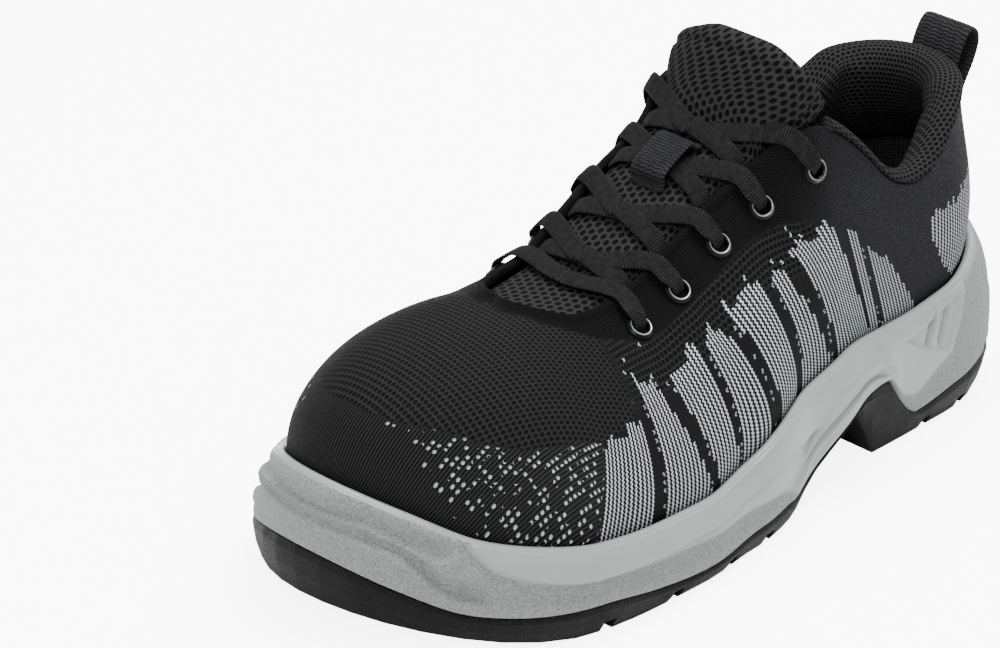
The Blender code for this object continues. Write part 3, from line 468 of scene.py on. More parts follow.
def over_tongue(x, share):
    """Point of the tongue's face at a place along the shoe and a share across, -1 to 1."""
    face = tongue_face()[:, TONGUE_SIDE_ROWS - 1:-(TONGUE_SIDE_ROWS - 1)]
    shares = np.array((-1.0,) + TONGUE_ARCH + (1.0,))
    row = np.array([[np.interp(x, face[:, i, 0], face[:, i, axis]) for axis in range(3)]
                    for i in range(face.shape[1])])
    return np.array([smooth(shares, row[:, axis], share) for axis in range(3)]).reshape(3)


def across_tongue(start_x, end_x, side, lift, shares=LACE_SHARES):
    """Centres and normals of a lace over the tongue, from one edge of the throat to the other."""
    centres = []
    normals = []
    rise = LACE_GAP + LACE_THICKNESS * 0.5
    for share in shares:
        x = start_x + (end_x - start_x) * (share + 1.0) / 2.0
        across = -share * side
        spot = over_tongue(x, across)
        beside = over_tongue(x, across + 0.05) - spot
        behind = over_tongue(x + 0.002, across) - spot
        up = np.cross(behind, beside)
        up *= np.sign(up[2]) / np.linalg.norm(up)
        centres.append(spot + up * (rise + lift * max(0.0, 1.0 - abs(share) / 0.5)))
        normals.append(up)
    return centres, normals


# Camera, matched to the photograph
CAMERA_TURN = (-49.98248, 26.22402, 4.58253)
CAMERA_DISTANCE = 1.03159535
CAMERA_TARGET = (-0.11015210, -0.02679966, 0.09589452)
CAMERA_LENS = 134.305

# Floor and lamps
FLOOR_REACH = 6.0
FLOOR_GLOW = 6.0
SKY_STRENGTH = 1.5
LIGHT_AIM = (0.0, 0.0, 0.05)
LAMPS = (("top", (0.15, 0.1, 1.6), 1.0, 66.0),
         ("key", (-1.35, -0.65, 1.3), 0.7, 35.0),
         ("rear", (1.2, 0.3, 1.0), 0.8, 8.0))

# Knit: stations between neighbouring lines, stitch length, rows of the surface
LINE_STEP = 0.006
STITCH = 0.0013
RIB_PITCH = 0.00095
LINING_ROWS = 22
KNIT_ROWS = 56

# Share of the height where the lines stop leaning, and how far each leans along the shoe
LEAN_END = 0.6
LEAN_COLUMNS = ("line", "lean")
LEAN = ((0.00, 0.0), (0.12, -0.01), (0.20, -0.02), (0.30, 0.0), (0.38, 0.012), (0.43, 0.015),
        (0.47, 0.04), (0.52, 0.036), (0.55, 0.04), (0.60, 0.06), (0.64, 0.085), (0.70, 0.05),
        (0.76, 0.04), (0.85, 0.0), (1.0, 0.0))

# Light stripes: line of the left side at top and rim, of the right side at top and rim, and the
# height above the rim of the left and right top, in mm
STRIPES = (
    (0.211, 0.211, 0.284, 0.284, 27, 33),
    (0.301, 0.301, 0.321, 0.370, 45, 41),
    (0.350, 0.382, 0.412, 0.418, 37, 42),
    (0.428, 0.427, 0.464, 0.470, 41, 42),
    (0.480, 0.492, 0.534, 0.534, 43.6, 43),
    (0.556, 0.547, 0.569, 0.599, 44, 42),
    (0.594, 0.615, 0.669, 0.687, 45.7, 48),
    (0.692, 0.692, 0.708, 0.708, 40, 38),
    (0.720, 0.717, 0.748, 0.785, 29, 26),
)
CREASES = ((-0.072, 0.10, 0.0005, 0.006), (-0.056, 0.16, 0.0004, 0.005))
HEEL_PATCH = ((0.826, 20.0), (0.846, 9.0), (0.872, 1.0), (0.92, 0.0))
HEEL_PATCH_END = 0.955
HEEL_PATCH_TOP = 26.0
DASH_LINES = (0.285, 0.715)
DASH_TOP = 38.0
DASH_CHANCE = 0.45
STRIPE_STEP = 2.5
LIGHT_SEED = 7
SPECK_SEED = 11
SPECK_CHANCE = 0.03

# Kinds of knit: each range is where one fades into the next, by line or by height in mm
MESH_END = (0.27, 0.29)
TOE_END = (0.205, 0.21)
KNOB_HEIGHTS = (33.0, 37.0)
KNOB_START = (0.28, 0.29)
KNOB_END = (0.66, 0.70)
VAMP_FADE = 0.5
DENSE_FADE = 0.4
DOT_HEIGHTS = (20.0, 31.0)
DOT_SLANT = 260.0
DOT_SHARES = (0.85, 0.25)
VAMP_COLUMNS = ("line", "height")
VAMP = ((0.0, 21.0), (0.03, 24.0), (0.067, 26.0), (0.118, 27.5), (0.176, 29.6), (0.222, 28.8),
        (0.30, 34.0), (1.0, 34.0))
DENSE_COLUMNS = ("line", "reach")
DENSE = ((0.0, 7.0), (0.203, 7.7), (0.326, 13.7), (0.36, 17.0), (0.56, 19.0), (0.64, 26.0),
         (0.72, 60.0), (1.0, 60.0))


def through(points, count, closed=False):
    """Smooth curve through every point of the first axis, with count steps between neighbours."""
    points = np.asarray(points, float)
    if closed:
        padded = np.concatenate([points[-1:], points, points[:2]])
    else:
        before = 2 * points[:1] - points[1:2]
        padded = np.concatenate([before, points, 2 * points[-1:] - points[-2:-1]])
    share = (np.arange(count) / count).reshape((1, count) + (1,) * (points.ndim - 1))
    before, start, end, after = (padded[i:len(padded) - 3 + i][:, None] for i in range(4))
    curve = 0.5 * (2 * start + (end - before) * share
                   + (2 * before - 5 * start + 4 * end - after) * share**2
                   + (3 * start - before - 3 * end + after) * share**3)
    curve = curve.reshape((-1,) + points.shape[1:])
    return curve if closed else np.concatenate([curve, points[-1:]])


def add_object(name, data):
    """A new object in the scene."""
    made = bpy.data.objects.new(name, data)
    bpy.context.collection.objects.link(made)
    return made


def skin(name, grid, wrap=(False, False), maps=(), fields=(), cells=(), caps=False):
    """A quad mesh over a grid of points: maps are UV maps on its lines, fields are values at its
    points, and cells are values of its faces. Faces are turned out by the sign of the volume."""
    rows, columns = grid.shape[:2]
    steps = [np.arange(count - (not closed)) for count, closed in zip((rows, columns), wrap)]
    low, left = np.meshgrid(*steps, indexing="ij")
    corners = [(low, left), (low, left + 1), (low + 1, left + 1), (low + 1, left)]
    quads = np.stack([(r % rows) * columns + c % columns for r, c in corners], -1).reshape(-1, 4)
    loops = quads.ravel()
    sizes = np.full(len(quads), 4)
    if caps:
        ends = [np.arange(columns)[::-1], (rows - 1) * columns + np.arange(columns)]
        loops = np.concatenate([loops] + ends)
        sizes = np.concatenate([sizes, [columns, columns]])
    mesh = bpy.data.meshes.new(name)
    mesh.vertices.add(rows * columns)
    mesh.vertices.foreach_set("co", grid.ravel())
    mesh.loops.add(len(loops))
    mesh.loops.foreach_set("vertex_index", loops.astype(np.int32))
    mesh.polygons.add(len(sizes))
    mesh.polygons.foreach_set("loop_start", (np.cumsum(sizes) - sizes).astype(np.int32))
    mesh.polygons.foreach_set("loop_total", sizes.astype(np.int32))
    mesh.update(calc_edges=True)
    for title, values in maps:
        spread = np.stack([values[r, c] for r, c in corners], -2).reshape(-1, 2)
        if caps:
            spread = np.concatenate([spread, np.zeros((2 * columns, 2))])
        layer = mesh.uv_layers.new(name=title)
        layer.data.foreach_set("uv", spread.ravel().astype(np.float32))
    fields = [(title, np.broadcast_to(values, (rows, columns))) for title, values in fields]
    for kind, layers in (("POINT", fields), ("FACE", cells)):
        for title, values in layers:
            layer = mesh.attributes.new(title, "FLOAT", kind)
            layer.data.foreach_set("value", values.ravel().astype(np.float32))
    edit = bmesh.new()
    edit.from_mesh(mesh)
    if edit.calc_volume(signed=True) < 0.0:
        bmesh.ops.reverse_faces(edit, faces=edit.faces)
    edit.to_mesh(mesh)
    edit.free()
    mesh.shade_smooth()
    return add_object(name, mesh)


def done(piece, finish, nodes=(), sharp=None):
    """Gives a piece its material, slot and body, and hides the frame's nodes that it stands for."""
    piece.data.materials.clear()
    piece.data.materials.append(finish)
    if sharp is not None:
        piece.data.set_sharp_from_angle(angle=math.radians(sharp))
    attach(piece, "root")
    if nodes:
        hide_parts(*nodes)
    return piece


class Wire:
    """A node's output in a net, which can be reckoned with like a number."""

    def __init__(self, net, socket):
        self.net = net
        self.socket = socket

    def __add__(self, other):
        return self.net.math("ADD", self, other)

    def __sub__(self, other):
        return self.net.math("SUBTRACT", self, other)

    def __rsub__(self, other):
        return self.net.math("SUBTRACT", other, self)

    def __mul__(self, other):
        return self.net.math("MULTIPLY", self, other)

    def __rtruediv__(self, other):
        return self.net.math("DIVIDE", other, self)


class Net:
    """A short way to write nodes: each call makes one and gives back its output."""

    def __init__(self, tree):
        self.tree = tree

    def put(self, socket, value):
        if isinstance(value, Wire):
            self.tree.links.new(value.socket, socket)
        else:
            socket.default_value = value

    def node(self, kind, values, **settings):
        made = self.tree.nodes.new("ShaderNode" + kind)
        for key, value in settings.items():
            setattr(made, key, value)
        for name, value in values.items():
            self.put(made.inputs[name], value)
        return made

    def wire(self, kind, values, output=0, **settings):
        return Wire(self, self.node(kind, values, **settings).outputs[output])

    def math(self, operation, *values):
        return self.wire("Math", dict(enumerate(values)), operation=operation)

    def reach(self, x, y):
        """Length of the way to a place."""
        return self.math("SQRT", x * x + y * y)

    def near_middle(self, value):
        """Distance of a value from the middle of its unit step, 0 to 0.5."""
        return self.math("ABSOLUTE", self.math("FRACT", value) - 0.5)

    def span(self, value, low, high, start=0.0, end=1.0):
        """Smooth step from start at low to end at high."""
        values = {"Value": value, "From Min": low, "From Max": high, "To Min": start, "To Max": end}
        return self.wire("MapRange", values, interpolation_type="SMOOTHSTEP")

    def blend(self, share, first, second):
        """A number between two numbers."""
        return self.wire("Mix", {0: share, 2: first, 3: second}, data_type="FLOAT")

    def paint(self, colour, *coats):
        """A colour under further colours, each with its share."""
        for share, coat in coats:
            tones = [(*tone, 1.0) if isinstance(tone, tuple) else tone for tone in (colour, coat)]
            values = {0: share, 6: tones[0], 7: tones[1]}
            colour = self.wire("Mix", values, 2, data_type="RGBA")
        return colour

    def place(self):
        return self.wire("TexCoord", {}, "Object")

    def field(self, name):
        return self.wire("Attribute", {}, "Fac", attribute_name=name)

    def chart(self, name):
        """Both lines of a UV map."""
        made = self.node("SeparateXYZ", {0: self.wire("UVMap", {}, uv_map=name)})
        return Wire(self, made.outputs[0]), Wire(self, made.outputs[1])

    def noise(self, vector, scale, detail=2.0):
        return self.wire("TexNoise", {"Vector": vector, "Scale": scale, "Detail": detail})

    def cells(self, vector, scale, feature="F1"):
        values = {"Vector": vector, "Scale": scale}
        return self.wire("TexVoronoi", values, "Distance", feature=feature)

    def chance(self, x, y):
        """A number from 0 to 1, drawn anew for each pair of whole numbers."""
        vector = self.wire("CombineXYZ", {0: x, 1: y})
        return self.wire("TexWhiteNoise", {"Vector": vector}, "Value", noise_dimensions="3D")

    def use(self, group, **values):
        made = self.node("Group", {}, node_tree=group)
        for name, value in values.items():
            self.put(made.inputs[name], value)
        return {socket.name: Wire(self, socket) for socket in made.outputs}


def effect(takes, gives):
    """Makes a shader group with these inputs and outputs from a function of a net and inputs."""
    def group(build):
        tree = bpy.data.node_groups.new(build.__name__, "ShaderNodeTree")
        for title in takes:
            kind = "NodeSocketVector" if title == "Place" else "NodeSocketFloat"
            tree.interface.new_socket(title, in_out="INPUT", socket_type=kind)
        for title in gives:
            tree.interface.new_socket(title, in_out="OUTPUT", socket_type="NodeSocketFloat")
        net = Net(tree)
        given = tree.nodes.new("NodeGroupInput").outputs
        out = tree.nodes.new("NodeGroupOutput").inputs
        results = build(net, *(Wire(net, given[title]) for title in takes))
        for title, result in zip(gives, results):
            net.put(out[title], result)
        return tree
    return group


@effect(("Line", "Stitch"), ("White", "Height"))
def stripe_yarn(net, line, stitch):
    """Zigzag yarn along each line: how light it is, with painted shade at stitch ends, and how far it
    stands out.
    """
    swing = net.math("PINGPONG", stitch, 0.5) - 0.25
    body = net.span(net.near_middle(line + swing * 0.75), 0.27, 0.15)
    beat = net.near_middle(stitch * 2.0) * 2.0
    # Painted shade: the light yarn falls to 0.62 of its tone towards the ends of each stitch
    return body * net.span(beat, 1.05, 0.35, 0.62, 1.0), body * net.span(beat, 1.1, 0.2, 0.45, 1.0)


@effect(("Along", "Across", "Chance"), ("White", "Height"))
def toe_ribs(net, along, across, chance):
    """Fine ribs along the toe with light commas in chains: how light, and how high."""
    rib = across * (0.001 / RIB_PITCH)
    rows = rib * 0.5
    row = net.math("FLOOR", rows)
    place = along * 0.62 + row * 0.5
    hit = net.math("LESS_THAN", net.chance(net.math("FLOOR", place), row), chance)
    slant = (net.math("FRACT", rows) - 0.5) * 0.5
    reach = net.reach(net.near_middle(place + slant) * 3.0, net.near_middle(rows) * 3.7)
    return net.span(reach, 1.0, 0.7) * hit, net.span(net.near_middle(rib), 0.5, 0.05)


@effect(("Along", "Across", "Size"), ("Hole", "Height"))
def hole_rows(net, along, across, size):
    """Rows of small holes, every second row moved by half a step: how open, and how high."""
    moved = along + net.math("FLOOR", across) * 0.5
    hole = net.span(net.reach(net.near_middle(moved), net.near_middle(across)), size, size * 0.55)
    return hole, 1.0 - hole


@effect(("Line", "Stitch"), ("Height",))
def fine_stitches(net, line, stitch):
    """Small V stitches: how high they stand."""
    slope = net.near_middle(line)
    rows = net.near_middle(stitch + slope * 1.1)
    return (net.span(rows, 0.5, 0.1) * net.span(slope, 0.5, 0.3),)


@effect(("Along", "Across"), ("Height", "Edge"))
def webbing_rows(net, along, across):
    """Ribs of woven tape, beaded along both edges: how high they stand, and where the edge is."""
    edge = net.span(across, 0.72, 0.86)
    slope = net.near_middle(across * 2.6) * 0.7
    ribs = net.span(net.near_middle(along + slope), 0.5, 0.12)
    beads = net.span(net.near_middle(along * 0.8), 0.5, 0.1)
    return net.blend(edge, ribs, beads), edge


@effect(("Place", "Size"), ("Height",))
def pebbles(net, place, size):
    """Fine moulded grain: how high it stands."""
    large = net.cells(place, 1.0 / size, "SMOOTH_F1")
    return (net.noise(place, 1.6 / size) - large * 0.8,)


def finish(name, roughness, **constants):
    """A material with its net and the inputs of its Principled shader."""
    made = bpy.data.materials.new(name)
    made.use_nodes = True
    shader = made.node_tree.nodes["Principled BSDF"].inputs
    shader["Roughness"].default_value = roughness
    for title, value in constants.items():
        shader[title.replace("_", " ")].default_value = value
    return made, Net(made.node_tree), shader


def fabric(name):
    """A dull, rough material for cloth."""
    return finish(name, 0.78, Specular_IOR_Level=0.05)


def dress(parts, colour, roughness, height, depth):
    """Connects colour, roughness and a bump of this depth to a material, and gives the material."""
    made, net, shader = parts
    net.put(shader["Base Color"], colour)
    net.put(shader["Roughness"], roughness)
    net.put(shader["Normal"], net.wire("Bump", {"Height": height, "Distance": depth}))
    return made


def knit_finish():
    """Dark knit that differs by the upper's fields, with light yarn where its faces are light."""
    parts = fabric("knit_yarns")
    net = parts[1]
    line, stitch = net.chart("knit")
    along, across = net.chart("cloth")
    titles = ("light", "toe", "mesh", "bubble", "dense", "dots", "speck")
    light, toe, mesh, bubble, dense, dots, speck = map(net.field, titles)
    place = net.place()
    cloud = net.noise(place, 900.0)
    yarn = net.use(stripe_yarn, Line=line, Stitch=stitch)
    holes = net.use(hole_rows, Along=across * 0.68, Across=along * 0.50, Size=0.42)
    fine = net.use(fine_stitches, Line=line * 2.0, Stitch=stitch * 1.3)["Height"]
    knobs = net.use(hole_rows, Along=line * 0.85, Across=stitch * 0.62, Size=0.48)
    chain = net.span(net.noise(place, 330.0), 0.40, 0.58)
    ribs = net.use(toe_ribs, Along=along, Across=across, Chance=dots * chain)

    white = net.blend(toe, yarn["White"] * light, ribs["White"])
    white = net.math("MAXIMUM", white, bubble * (yarn["White"] * speck))
    # Painted sheen: the dense knit towards the heel is painted a lighter black, standing in for light
    # grazing it
    from_heel = net.math("ABSOLUTE", line - 1.0 / LINE_STEP)
    rear = net.span(from_heel, 0.40 / LINE_STEP, 0.24 / LINE_STEP) * dense
    # Holes of the mesh and knob knit, and painted shade in the gaps between fine stitches and in the
    # valleys between the toe ribs: all painted near black
    dark = holes["Hole"] * mesh
    painted_stitch_gap_shade = net.span(fine, 0.45, 0.0, 0.0, 0.75) * dense
    for more in (knobs["Hole"] * bubble, painted_stitch_gap_shade, (1.0 - ribs["Height"]) * (toe * 0.9)):
        dark = net.math("MAXIMUM", dark, more)
    # Coats of the black: random cloud tone, mesh, toe and knob tones, painted sheen towards the heel,
    # and near black for holes and painted shade
    black = net.paint((0.0008, 0.0008, 0.001), (cloud, (0.0045, 0.0045, 0.005)),
                      (mesh * 0.7, (0.0085, 0.0085, 0.009)), (toe * 0.8, (0.0165, 0.0165, 0.017)),
                      (rear, (0.0150, 0.0150, 0.0168)), (bubble * 0.7, (0.0090, 0.0090, 0.0095)),
                      (dark, (0.0005, 0.0005, 0.0005)))
    pale = net.paint((0.26, 0.285, 0.29), (net.noise(place, 260.0), (0.40, 0.43, 0.435)))

    height = yarn["Height"] * net.span(light, 0.0, 1.0, 0.45, 1.0)
    for share, more in ((dense, fine * 0.9), (bubble, knobs["Height"] * 1.7),
                        (mesh, holes["Height"] * 2.2), (toe, ribs["Height"] * 2.6)):
        height = net.blend(share, height, more)
    return dress(parts, net.paint(black, (white, pale)), net.span(cloud, 0.2, 0.8, 0.68, 0.86),
                 height + cloud * 0.25, 0.00042)


def foam_finish():
    """Pale foam, smooth except where the pebble field roughens and pits it, with painted shade in the
    pits and in the heel's slots and panel.
    """
    parts = finish("foam_pale_grey", 0.5, Specular_IOR_Level=0.38, Subsurface_Weight=0.05,
                   Subsurface_Radius=(0.004, 0.004, 0.004))
    net = parts[1]
    place = net.place()
    rough = net.field("pebble")
    grain = net.use(pebbles, Place=place, Size=0.00065)["Height"]
    # Painted shade: the pits of the pebble grain are painted darker
    pits = rough * net.span(grain, 0.30, -0.1, 0.0, 0.6)
    # Painted shade: the heel's slots, and faintly its panel, are pulled towards a flat grey by the
    # groove field
    base = net.paint((0.134, 0.151, 0.143), (net.noise(place, 60.0, 4.0), (0.157, 0.176, 0.167)),
                     (rough * 0.55, (0.188, 0.209, 0.196)), (pits, (0.085, 0.093, 0.091)),
                     (net.field("painted_groove_shade") * 0.55, (0.15, 0.16, 0.155)))
    return dress(parts, base, net.blend(rough, 0.36, 0.66), grain * rough, 0.0013)


def rubber_finish():
    """Black rubber with a fine grain."""
    parts = finish("rubber_black_grained", 0.6, Specular_IOR_Level=0.09)
    net = parts[1]
    place = net.place()
    grain = net.use(pebbles, Place=place, Size=0.0006)["Height"]
    cloud = net.noise(place, 45.0, 4.0)
    base = net.paint((0.0009, 0.0009, 0.001), (cloud, (0.0026, 0.0026, 0.0027)))
    return dress(parts, base, net.span(cloud, 0.3, 0.7, 0.48, 0.66), grain, 0.0006)


def spacer_finish(name, pitch):
    """Padding cloth with rows of holes at a pitch in mm."""
    parts = fabric(name)
    net = parts[1]
    along, across = net.chart("cloth")
    along = along * (1.0 / pitch)
    holes = net.use(hole_rows, Along=along, Across=across * (1.35 / pitch), Size=0.42)
    fine = net.cells(net.place(), 1500.0)
    base = net.paint((0.0115, 0.0115, 0.012), (holes["Hole"], (0.0006, 0.0006, 0.0006)))
    height = holes["Height"] + fine * 0.3
    return dress(parts, base, net.span(fine, 0.0, 0.6, 0.66, 0.86), height, 0.0006)


def woven_finish(name, dark, light, step, bump):
    """Woven tape from a dark to a light tone, the light tone painted on its raised ribs as highlight,
    with ribs at a step in metres.
    """
    parts = fabric(name)
    net = parts[1]
    along, across = net.chart("tape")
    weave = net.use(webbing_rows, Along=along * (0.001 / step), Across=across)
    # Painted highlight: the raised ribs take the light tone, broken by noise
    shade = weave["Height"] * net.noise(net.place(), 500.0)
    return dress(parts, net.paint(dark, (shade, light)), net.blend(weave["Edge"], 0.80, 0.70),
                 weave["Height"], bump)


def textile_finish():
    """Dark felt of the insole."""
    parts = fabric("insole_cloth")
    net = parts[1]
    fibres = net.noise(net.place(), 700.0, 4.0)
    base = net.paint((0.012, 0.012, 0.013), (fibres, (0.03, 0.03, 0.031)))
    return dress(parts, base, net.span(fibres, 0.3, 0.7, 0.75, 0.92), fibres, 0.0003)


def metal_finish():
    """Dark metal, with a bright painted highlight where the crown highlight field says so."""
    parts = finish("eyelet_dark_metal", 0.34, Metallic=0.85, Specular_IOR_Level=0.25)
    net = parts[1]
    scratch = net.noise(net.place(), 1400.0, 3.0)
    # Painted highlight: a bright metal line on each ring's crown
    base = net.paint((0.004, 0.004, 0.0045), (net.field("painted_crown_highlight"), (0.42, 0.43, 0.43)))
    return dress(parts, base, net.span(scratch, 0.3, 0.7, 0.26, 0.42), scratch, 0.00004)


def line_stations():
    """Knit lines close together round the toe and heel, and at even steps between them."""
    middle = np.arange(round(0.204 / LINE_STEP), round(0.954 / LINE_STEP) + 1) * LINE_STEP
    toe = middle[0] * (1.0 - np.cos(np.linspace(0.0, math.pi / 2.0, 44)))
    heel = 1.0 - (1.0 - middle[-1]) * (1.0 - np.cos(np.linspace(math.pi / 2.0, 0.0, 22)))
    return np.concatenate([toe[:-1], middle, heel[1:]])


def light_cells(line, height):
    """1 where the yarn is light: inside the stripes, whose tops and sides step by lines, in the
    heel patch, and in the broken rows of dashes on the dark bands between them."""
    chance = np.random.default_rng(LIGHT_SEED)
    number = np.floor(line / LINE_STEP + 1e-6).astype(int)
    jitter = chance.uniform(-1.0, 1.0, 400)
    light = np.zeros(line.shape)
    for top_left, low_left, top_right, low_right, left_top, right_top in STRIPES:
        share = np.clip(height / max(left_top, right_top), 0.0, 1.0)
        left = low_left + (top_left - low_left) * share
        right = low_right + (top_right - low_right) * share
        step = (number // 3) % 2 * STRIPE_STEP + jitter[number] * 0.9
        run = np.clip((line - top_left) / (top_right - top_left + 1e-6), 0.0, 1.0)
        top = left_top + (right_top - left_top) * run - step
        light[(line >= left) & (line <= right) & (height < top)] = 1.0
    patch = np.interp(line, *np.array(HEEL_PATCH).T)
    inside = (line > HEEL_PATCH[0][0]) & (line < HEEL_PATCH_END) & (height > patch + jitter[number])
    light[inside & (height < HEEL_PATCH_TOP + jitter[number] * 2.0)] = 1.0
    first, last = DASH_LINES
    dashes = (number % 3 == 1) & (line > first) & (line < last) & (height < DASH_TOP)
    beat = np.arange(line.shape[0])[:, None] + number
    dashes = dashes & (light == 0.0) & (chance.random(line.shape) < DASH_CHANCE)
    light[dashes & (beat % 2 == 0)] = 0.5
    return light


def knit_upper():
    """The knitted shell: sections of the last from rim to opening, over the edge and down inside.

    Every column of the surface follows one knit line, which leans along the shoe as the lean table
    says, so each face is one stitch of one line."""
    lines = line_stations()
    along, sides = around(lines)
    lean = column(LEAN, LEAN_COLUMNS, "lean", along)
    shares = np.linspace(0.0, 1.0, KNIT_ROWS)
    outer = []
    for share in shares:
        station = np.clip(along + lean * (0.5 - min(share / LEAN_END, 1.0)), 0.0, 1.0)
        outer.append(upper_outer(station, sides, (share,))[0])
    outer = np.array(outer)
    up = travelled(outer)
    normal = grid_normals(outer)
    left = up[-1] - up
    outer += normal * hollows(outer, along, left * 1000.0)[..., None]
    below = outer[:1].copy()
    below[..., 2] = deck_height(along) + GAP
    edge = outer[-1:]
    inner = outer - normal * UPPER_WALL
    rim = [edge - normal[-1:] * UPPER_WALL * share + np.array([0.0, 0.0, rise])
           for share, rise in ((0.2, 0.0005), (0.5, 0.0008), (0.8, 0.0005))]
    picked = np.linspace(KNIT_ROWS - 1, 0, LINING_ROWS).astype(int)
    floor_ring = inner[:1].copy()
    floor_ring[..., 2] = below[..., 2]
    grid = np.concatenate([below, outer] + rim + [inner[picked], floor_ring])
    count = len(grid)
    nothing = np.zeros((1, len(along)))
    height = np.concatenate([below[..., 2] - outer[:1, :, 2], up, np.repeat(up[-1:], 3, 0) + 0.001,
                             up[picked], nothing])
    height_mm = height * 1000.0
    line_chart = np.concatenate([np.where(sides < 0, along, 2.0 - along), [2.0]]) / LINE_STEP
    rows_chart = np.pad(height, ((0, 0), (0, 1)), "wrap") / STITCH
    knit = np.stack([np.broadcast_to(line_chart, rows_chart.shape), rows_chart], -1)
    knit = np.pad(knit, ((0, 1), (0, 0), (0, 0)), "wrap")
    ridge = outer[:, np.argmin(along)]
    order = np.argsort(ridge[:, 0])
    top = np.interp(grid[..., 0], ridge[order, 0], np.maximum.accumulate(ridge[order, 2]))
    across = grid[..., 1] - TOE_OFFSET
    across = np.sign(across) * np.hypot(across, np.clip(top - grid[..., 2], 0.0, 1.0) * 0.9)
    cloth = np.stack([grid[..., 0], across], -1) * 1000.0
    cloth = np.pad(cloth, ((0, 1), (0, 1), (0, 0)), "wrap")
    outside = np.zeros((count, 1))
    outside[:len(outer) + 1] = 1.0
    inside = np.repeat(nothing, count - len(outer) - 1, 0)
    left_mm = np.concatenate([left[:1], left, inside]) * 1000.0
    vamp = column(VAMP, VAMP_COLUMNS, "height", along)
    above = ease(height_mm, vamp - VAMP_FADE, vamp + VAMP_FADE)
    reach = column(DENSE, DENSE_COLUMNS, "reach", along)
    dense = 1.0 - ease(left_mm, reach - DENSE_FADE, reach + DENSE_FADE)
    dense = np.maximum(dense, 1.0 - outside)
    bubble = ease(height_mm, *KNOB_HEIGHTS) * ease(along, *KNOB_START)
    bubble = bubble * (1.0 - ease(along, *KNOB_END)) * (1.0 - dense)
    mesh = above * (1.0 - ease(along, *MESH_END)) * (1.0 - dense)
    toe = (1.0 - above) * (1.0 - ease(along, *TOE_END)) * outside
    dots = ease(height_mm + along * DOT_SLANT, *DOT_HEIGHTS) * ease(vamp - height_mm, -1.0, 2.0)
    dots = dots * np.where(sides < 0.0, *DOT_SHARES)
    faces = [(values[:-1] + np.roll(values, -1, 1)[:-1]) / 2.0 for values in
             (np.broadcast_to(along, height.shape), height_mm)]
    light = np.concatenate([light_cells(*faces) * outside[:-1], nothing])
    speck = np.random.default_rng(SPECK_SEED).random(light.shape) < SPECK_CHANCE
    fields = (("mesh", mesh), ("toe", toe), ("dense", dense), ("bubble", bubble), ("dots", dots))
    piece = skin("upper_knit", grid, (True, True), (("knit", knit), ("cloth", cloth)), fields,
                 (("light", light), ("speck", speck * 1.0)))
    return done(piece, knit_finish(), ("upper",))


def hollows(grid, along, left):
    """Soft hollows and ridges of broken-in knit, as heights out of the surface in metres: the flex
    creases over the ball of the foot, the dip behind the last eyelets, and the edge band."""
    x = grid[..., 0]
    y = grid[..., 1]
    creases = 0.0
    for place, slant, depth, width in CREASES:
        off = x - place - slant * (y + 0.03)
        creases = creases - depth * bell(off, width) * ease(left, 4.0, 16.0)
    roll = 0.0011 * bell(left - 1.3, 1.1) - 0.0003 * bell(left - 4.0, 0.9)
    band = roll * (1.0 - ease(along, 0.55, 0.62))
    waist = 0.0012 * bell(along - 0.64, 0.035) * bell(left - 20.0, 12.0)
    return creases + band - waist


def collar_pad():
    """Padding inside the collar: rings along its way round the ankle, each a closed smooth curve
    through the lining's face, the roll over the knit's edge and the belly towards the ankle."""
    heel = 1.0 - 0.045 * (1.0 - np.cos(np.linspace(math.pi / 2.0, 0.0, 14)))
    stations = np.unique(np.concatenate([np.linspace(PADDING_FRONT, 0.955, 62), heel]))
    along, sides = around(stations)
    along = np.append(along, along[0])
    sides = np.append(sides, 1.0)
    above = upper_outer(along, sides, SECTION_SHARES)
    normal = unit(np.cross(np.gradient(above, axis=1), np.gradient(above, axis=0)))
    outer, normal = above[-6:], normal[-6:]
    inner = outer - normal * UPPER_WALL
    out = section_frame(along, sides)[2]
    grow = ease(along, PADDING_FRONT, PADDING_FRONT + PADDING_TAPER)[:, None]
    thick = PADDING_THICKNESS * (PADDING_END + (1.0 - PADDING_END) * grow)
    face = inner - normal * SOFT_GAP
    crease = 0.16 * bell(along - 0.80, 0.02) + 0.12 * bell(along - 0.90, 0.015)
    thick = thick * (1.0 - crease[:, None])
    belly = [row - normal[i] * thick * PADDING_BELLY[i] for i, row in enumerate(face)]
    edge = outer[-1]
    up = np.array([0.0, 0.0, PADDING_ROLL])
    roll = [
        face[-1] + up * 0.15,
        edge - out * UPPER_WALL * 0.3 + up * 0.20,
        edge + out * 0.0006 + up * 0.34,
        edge + out * 0.0002 + up * 0.66,
        edge - out * UPPER_WALL * 0.5 + up * 0.95,
        edge - out * (UPPER_WALL + thick * 0.35) + up * 1.05,
        edge - out * (UPPER_WALL + thick * 0.80) + up * 0.60,
    ]
    rings = through(np.array(list(face) + roll + belly[::-1]), 4, closed=True)
    grid = np.swapaxes(rings, 0, 1)
    ends = grid.mean(axis=1, keepdims=True)
    taper = np.ones(len(grid))
    taper[[0, -1]] = 0.35
    grid = ends + (grid - ends) * taper[:, None, None]
    way = travelled(grid[:, len(face) * 6])
    girth = travelled(np.pad(grid, ((0, 0), (0, 1), (0, 0)), "wrap").swapaxes(0, 1)).T
    cloth = np.stack([np.broadcast_to(way[:, None], girth.shape), girth], -1) * 1000.0
    piece = skin("collar_pad", grid, (False, True), (("cloth", cloth),), caps=True)
    return done(piece, spacer_finish("collar_mesh_cloth", 2.2), ("collar_padding",))


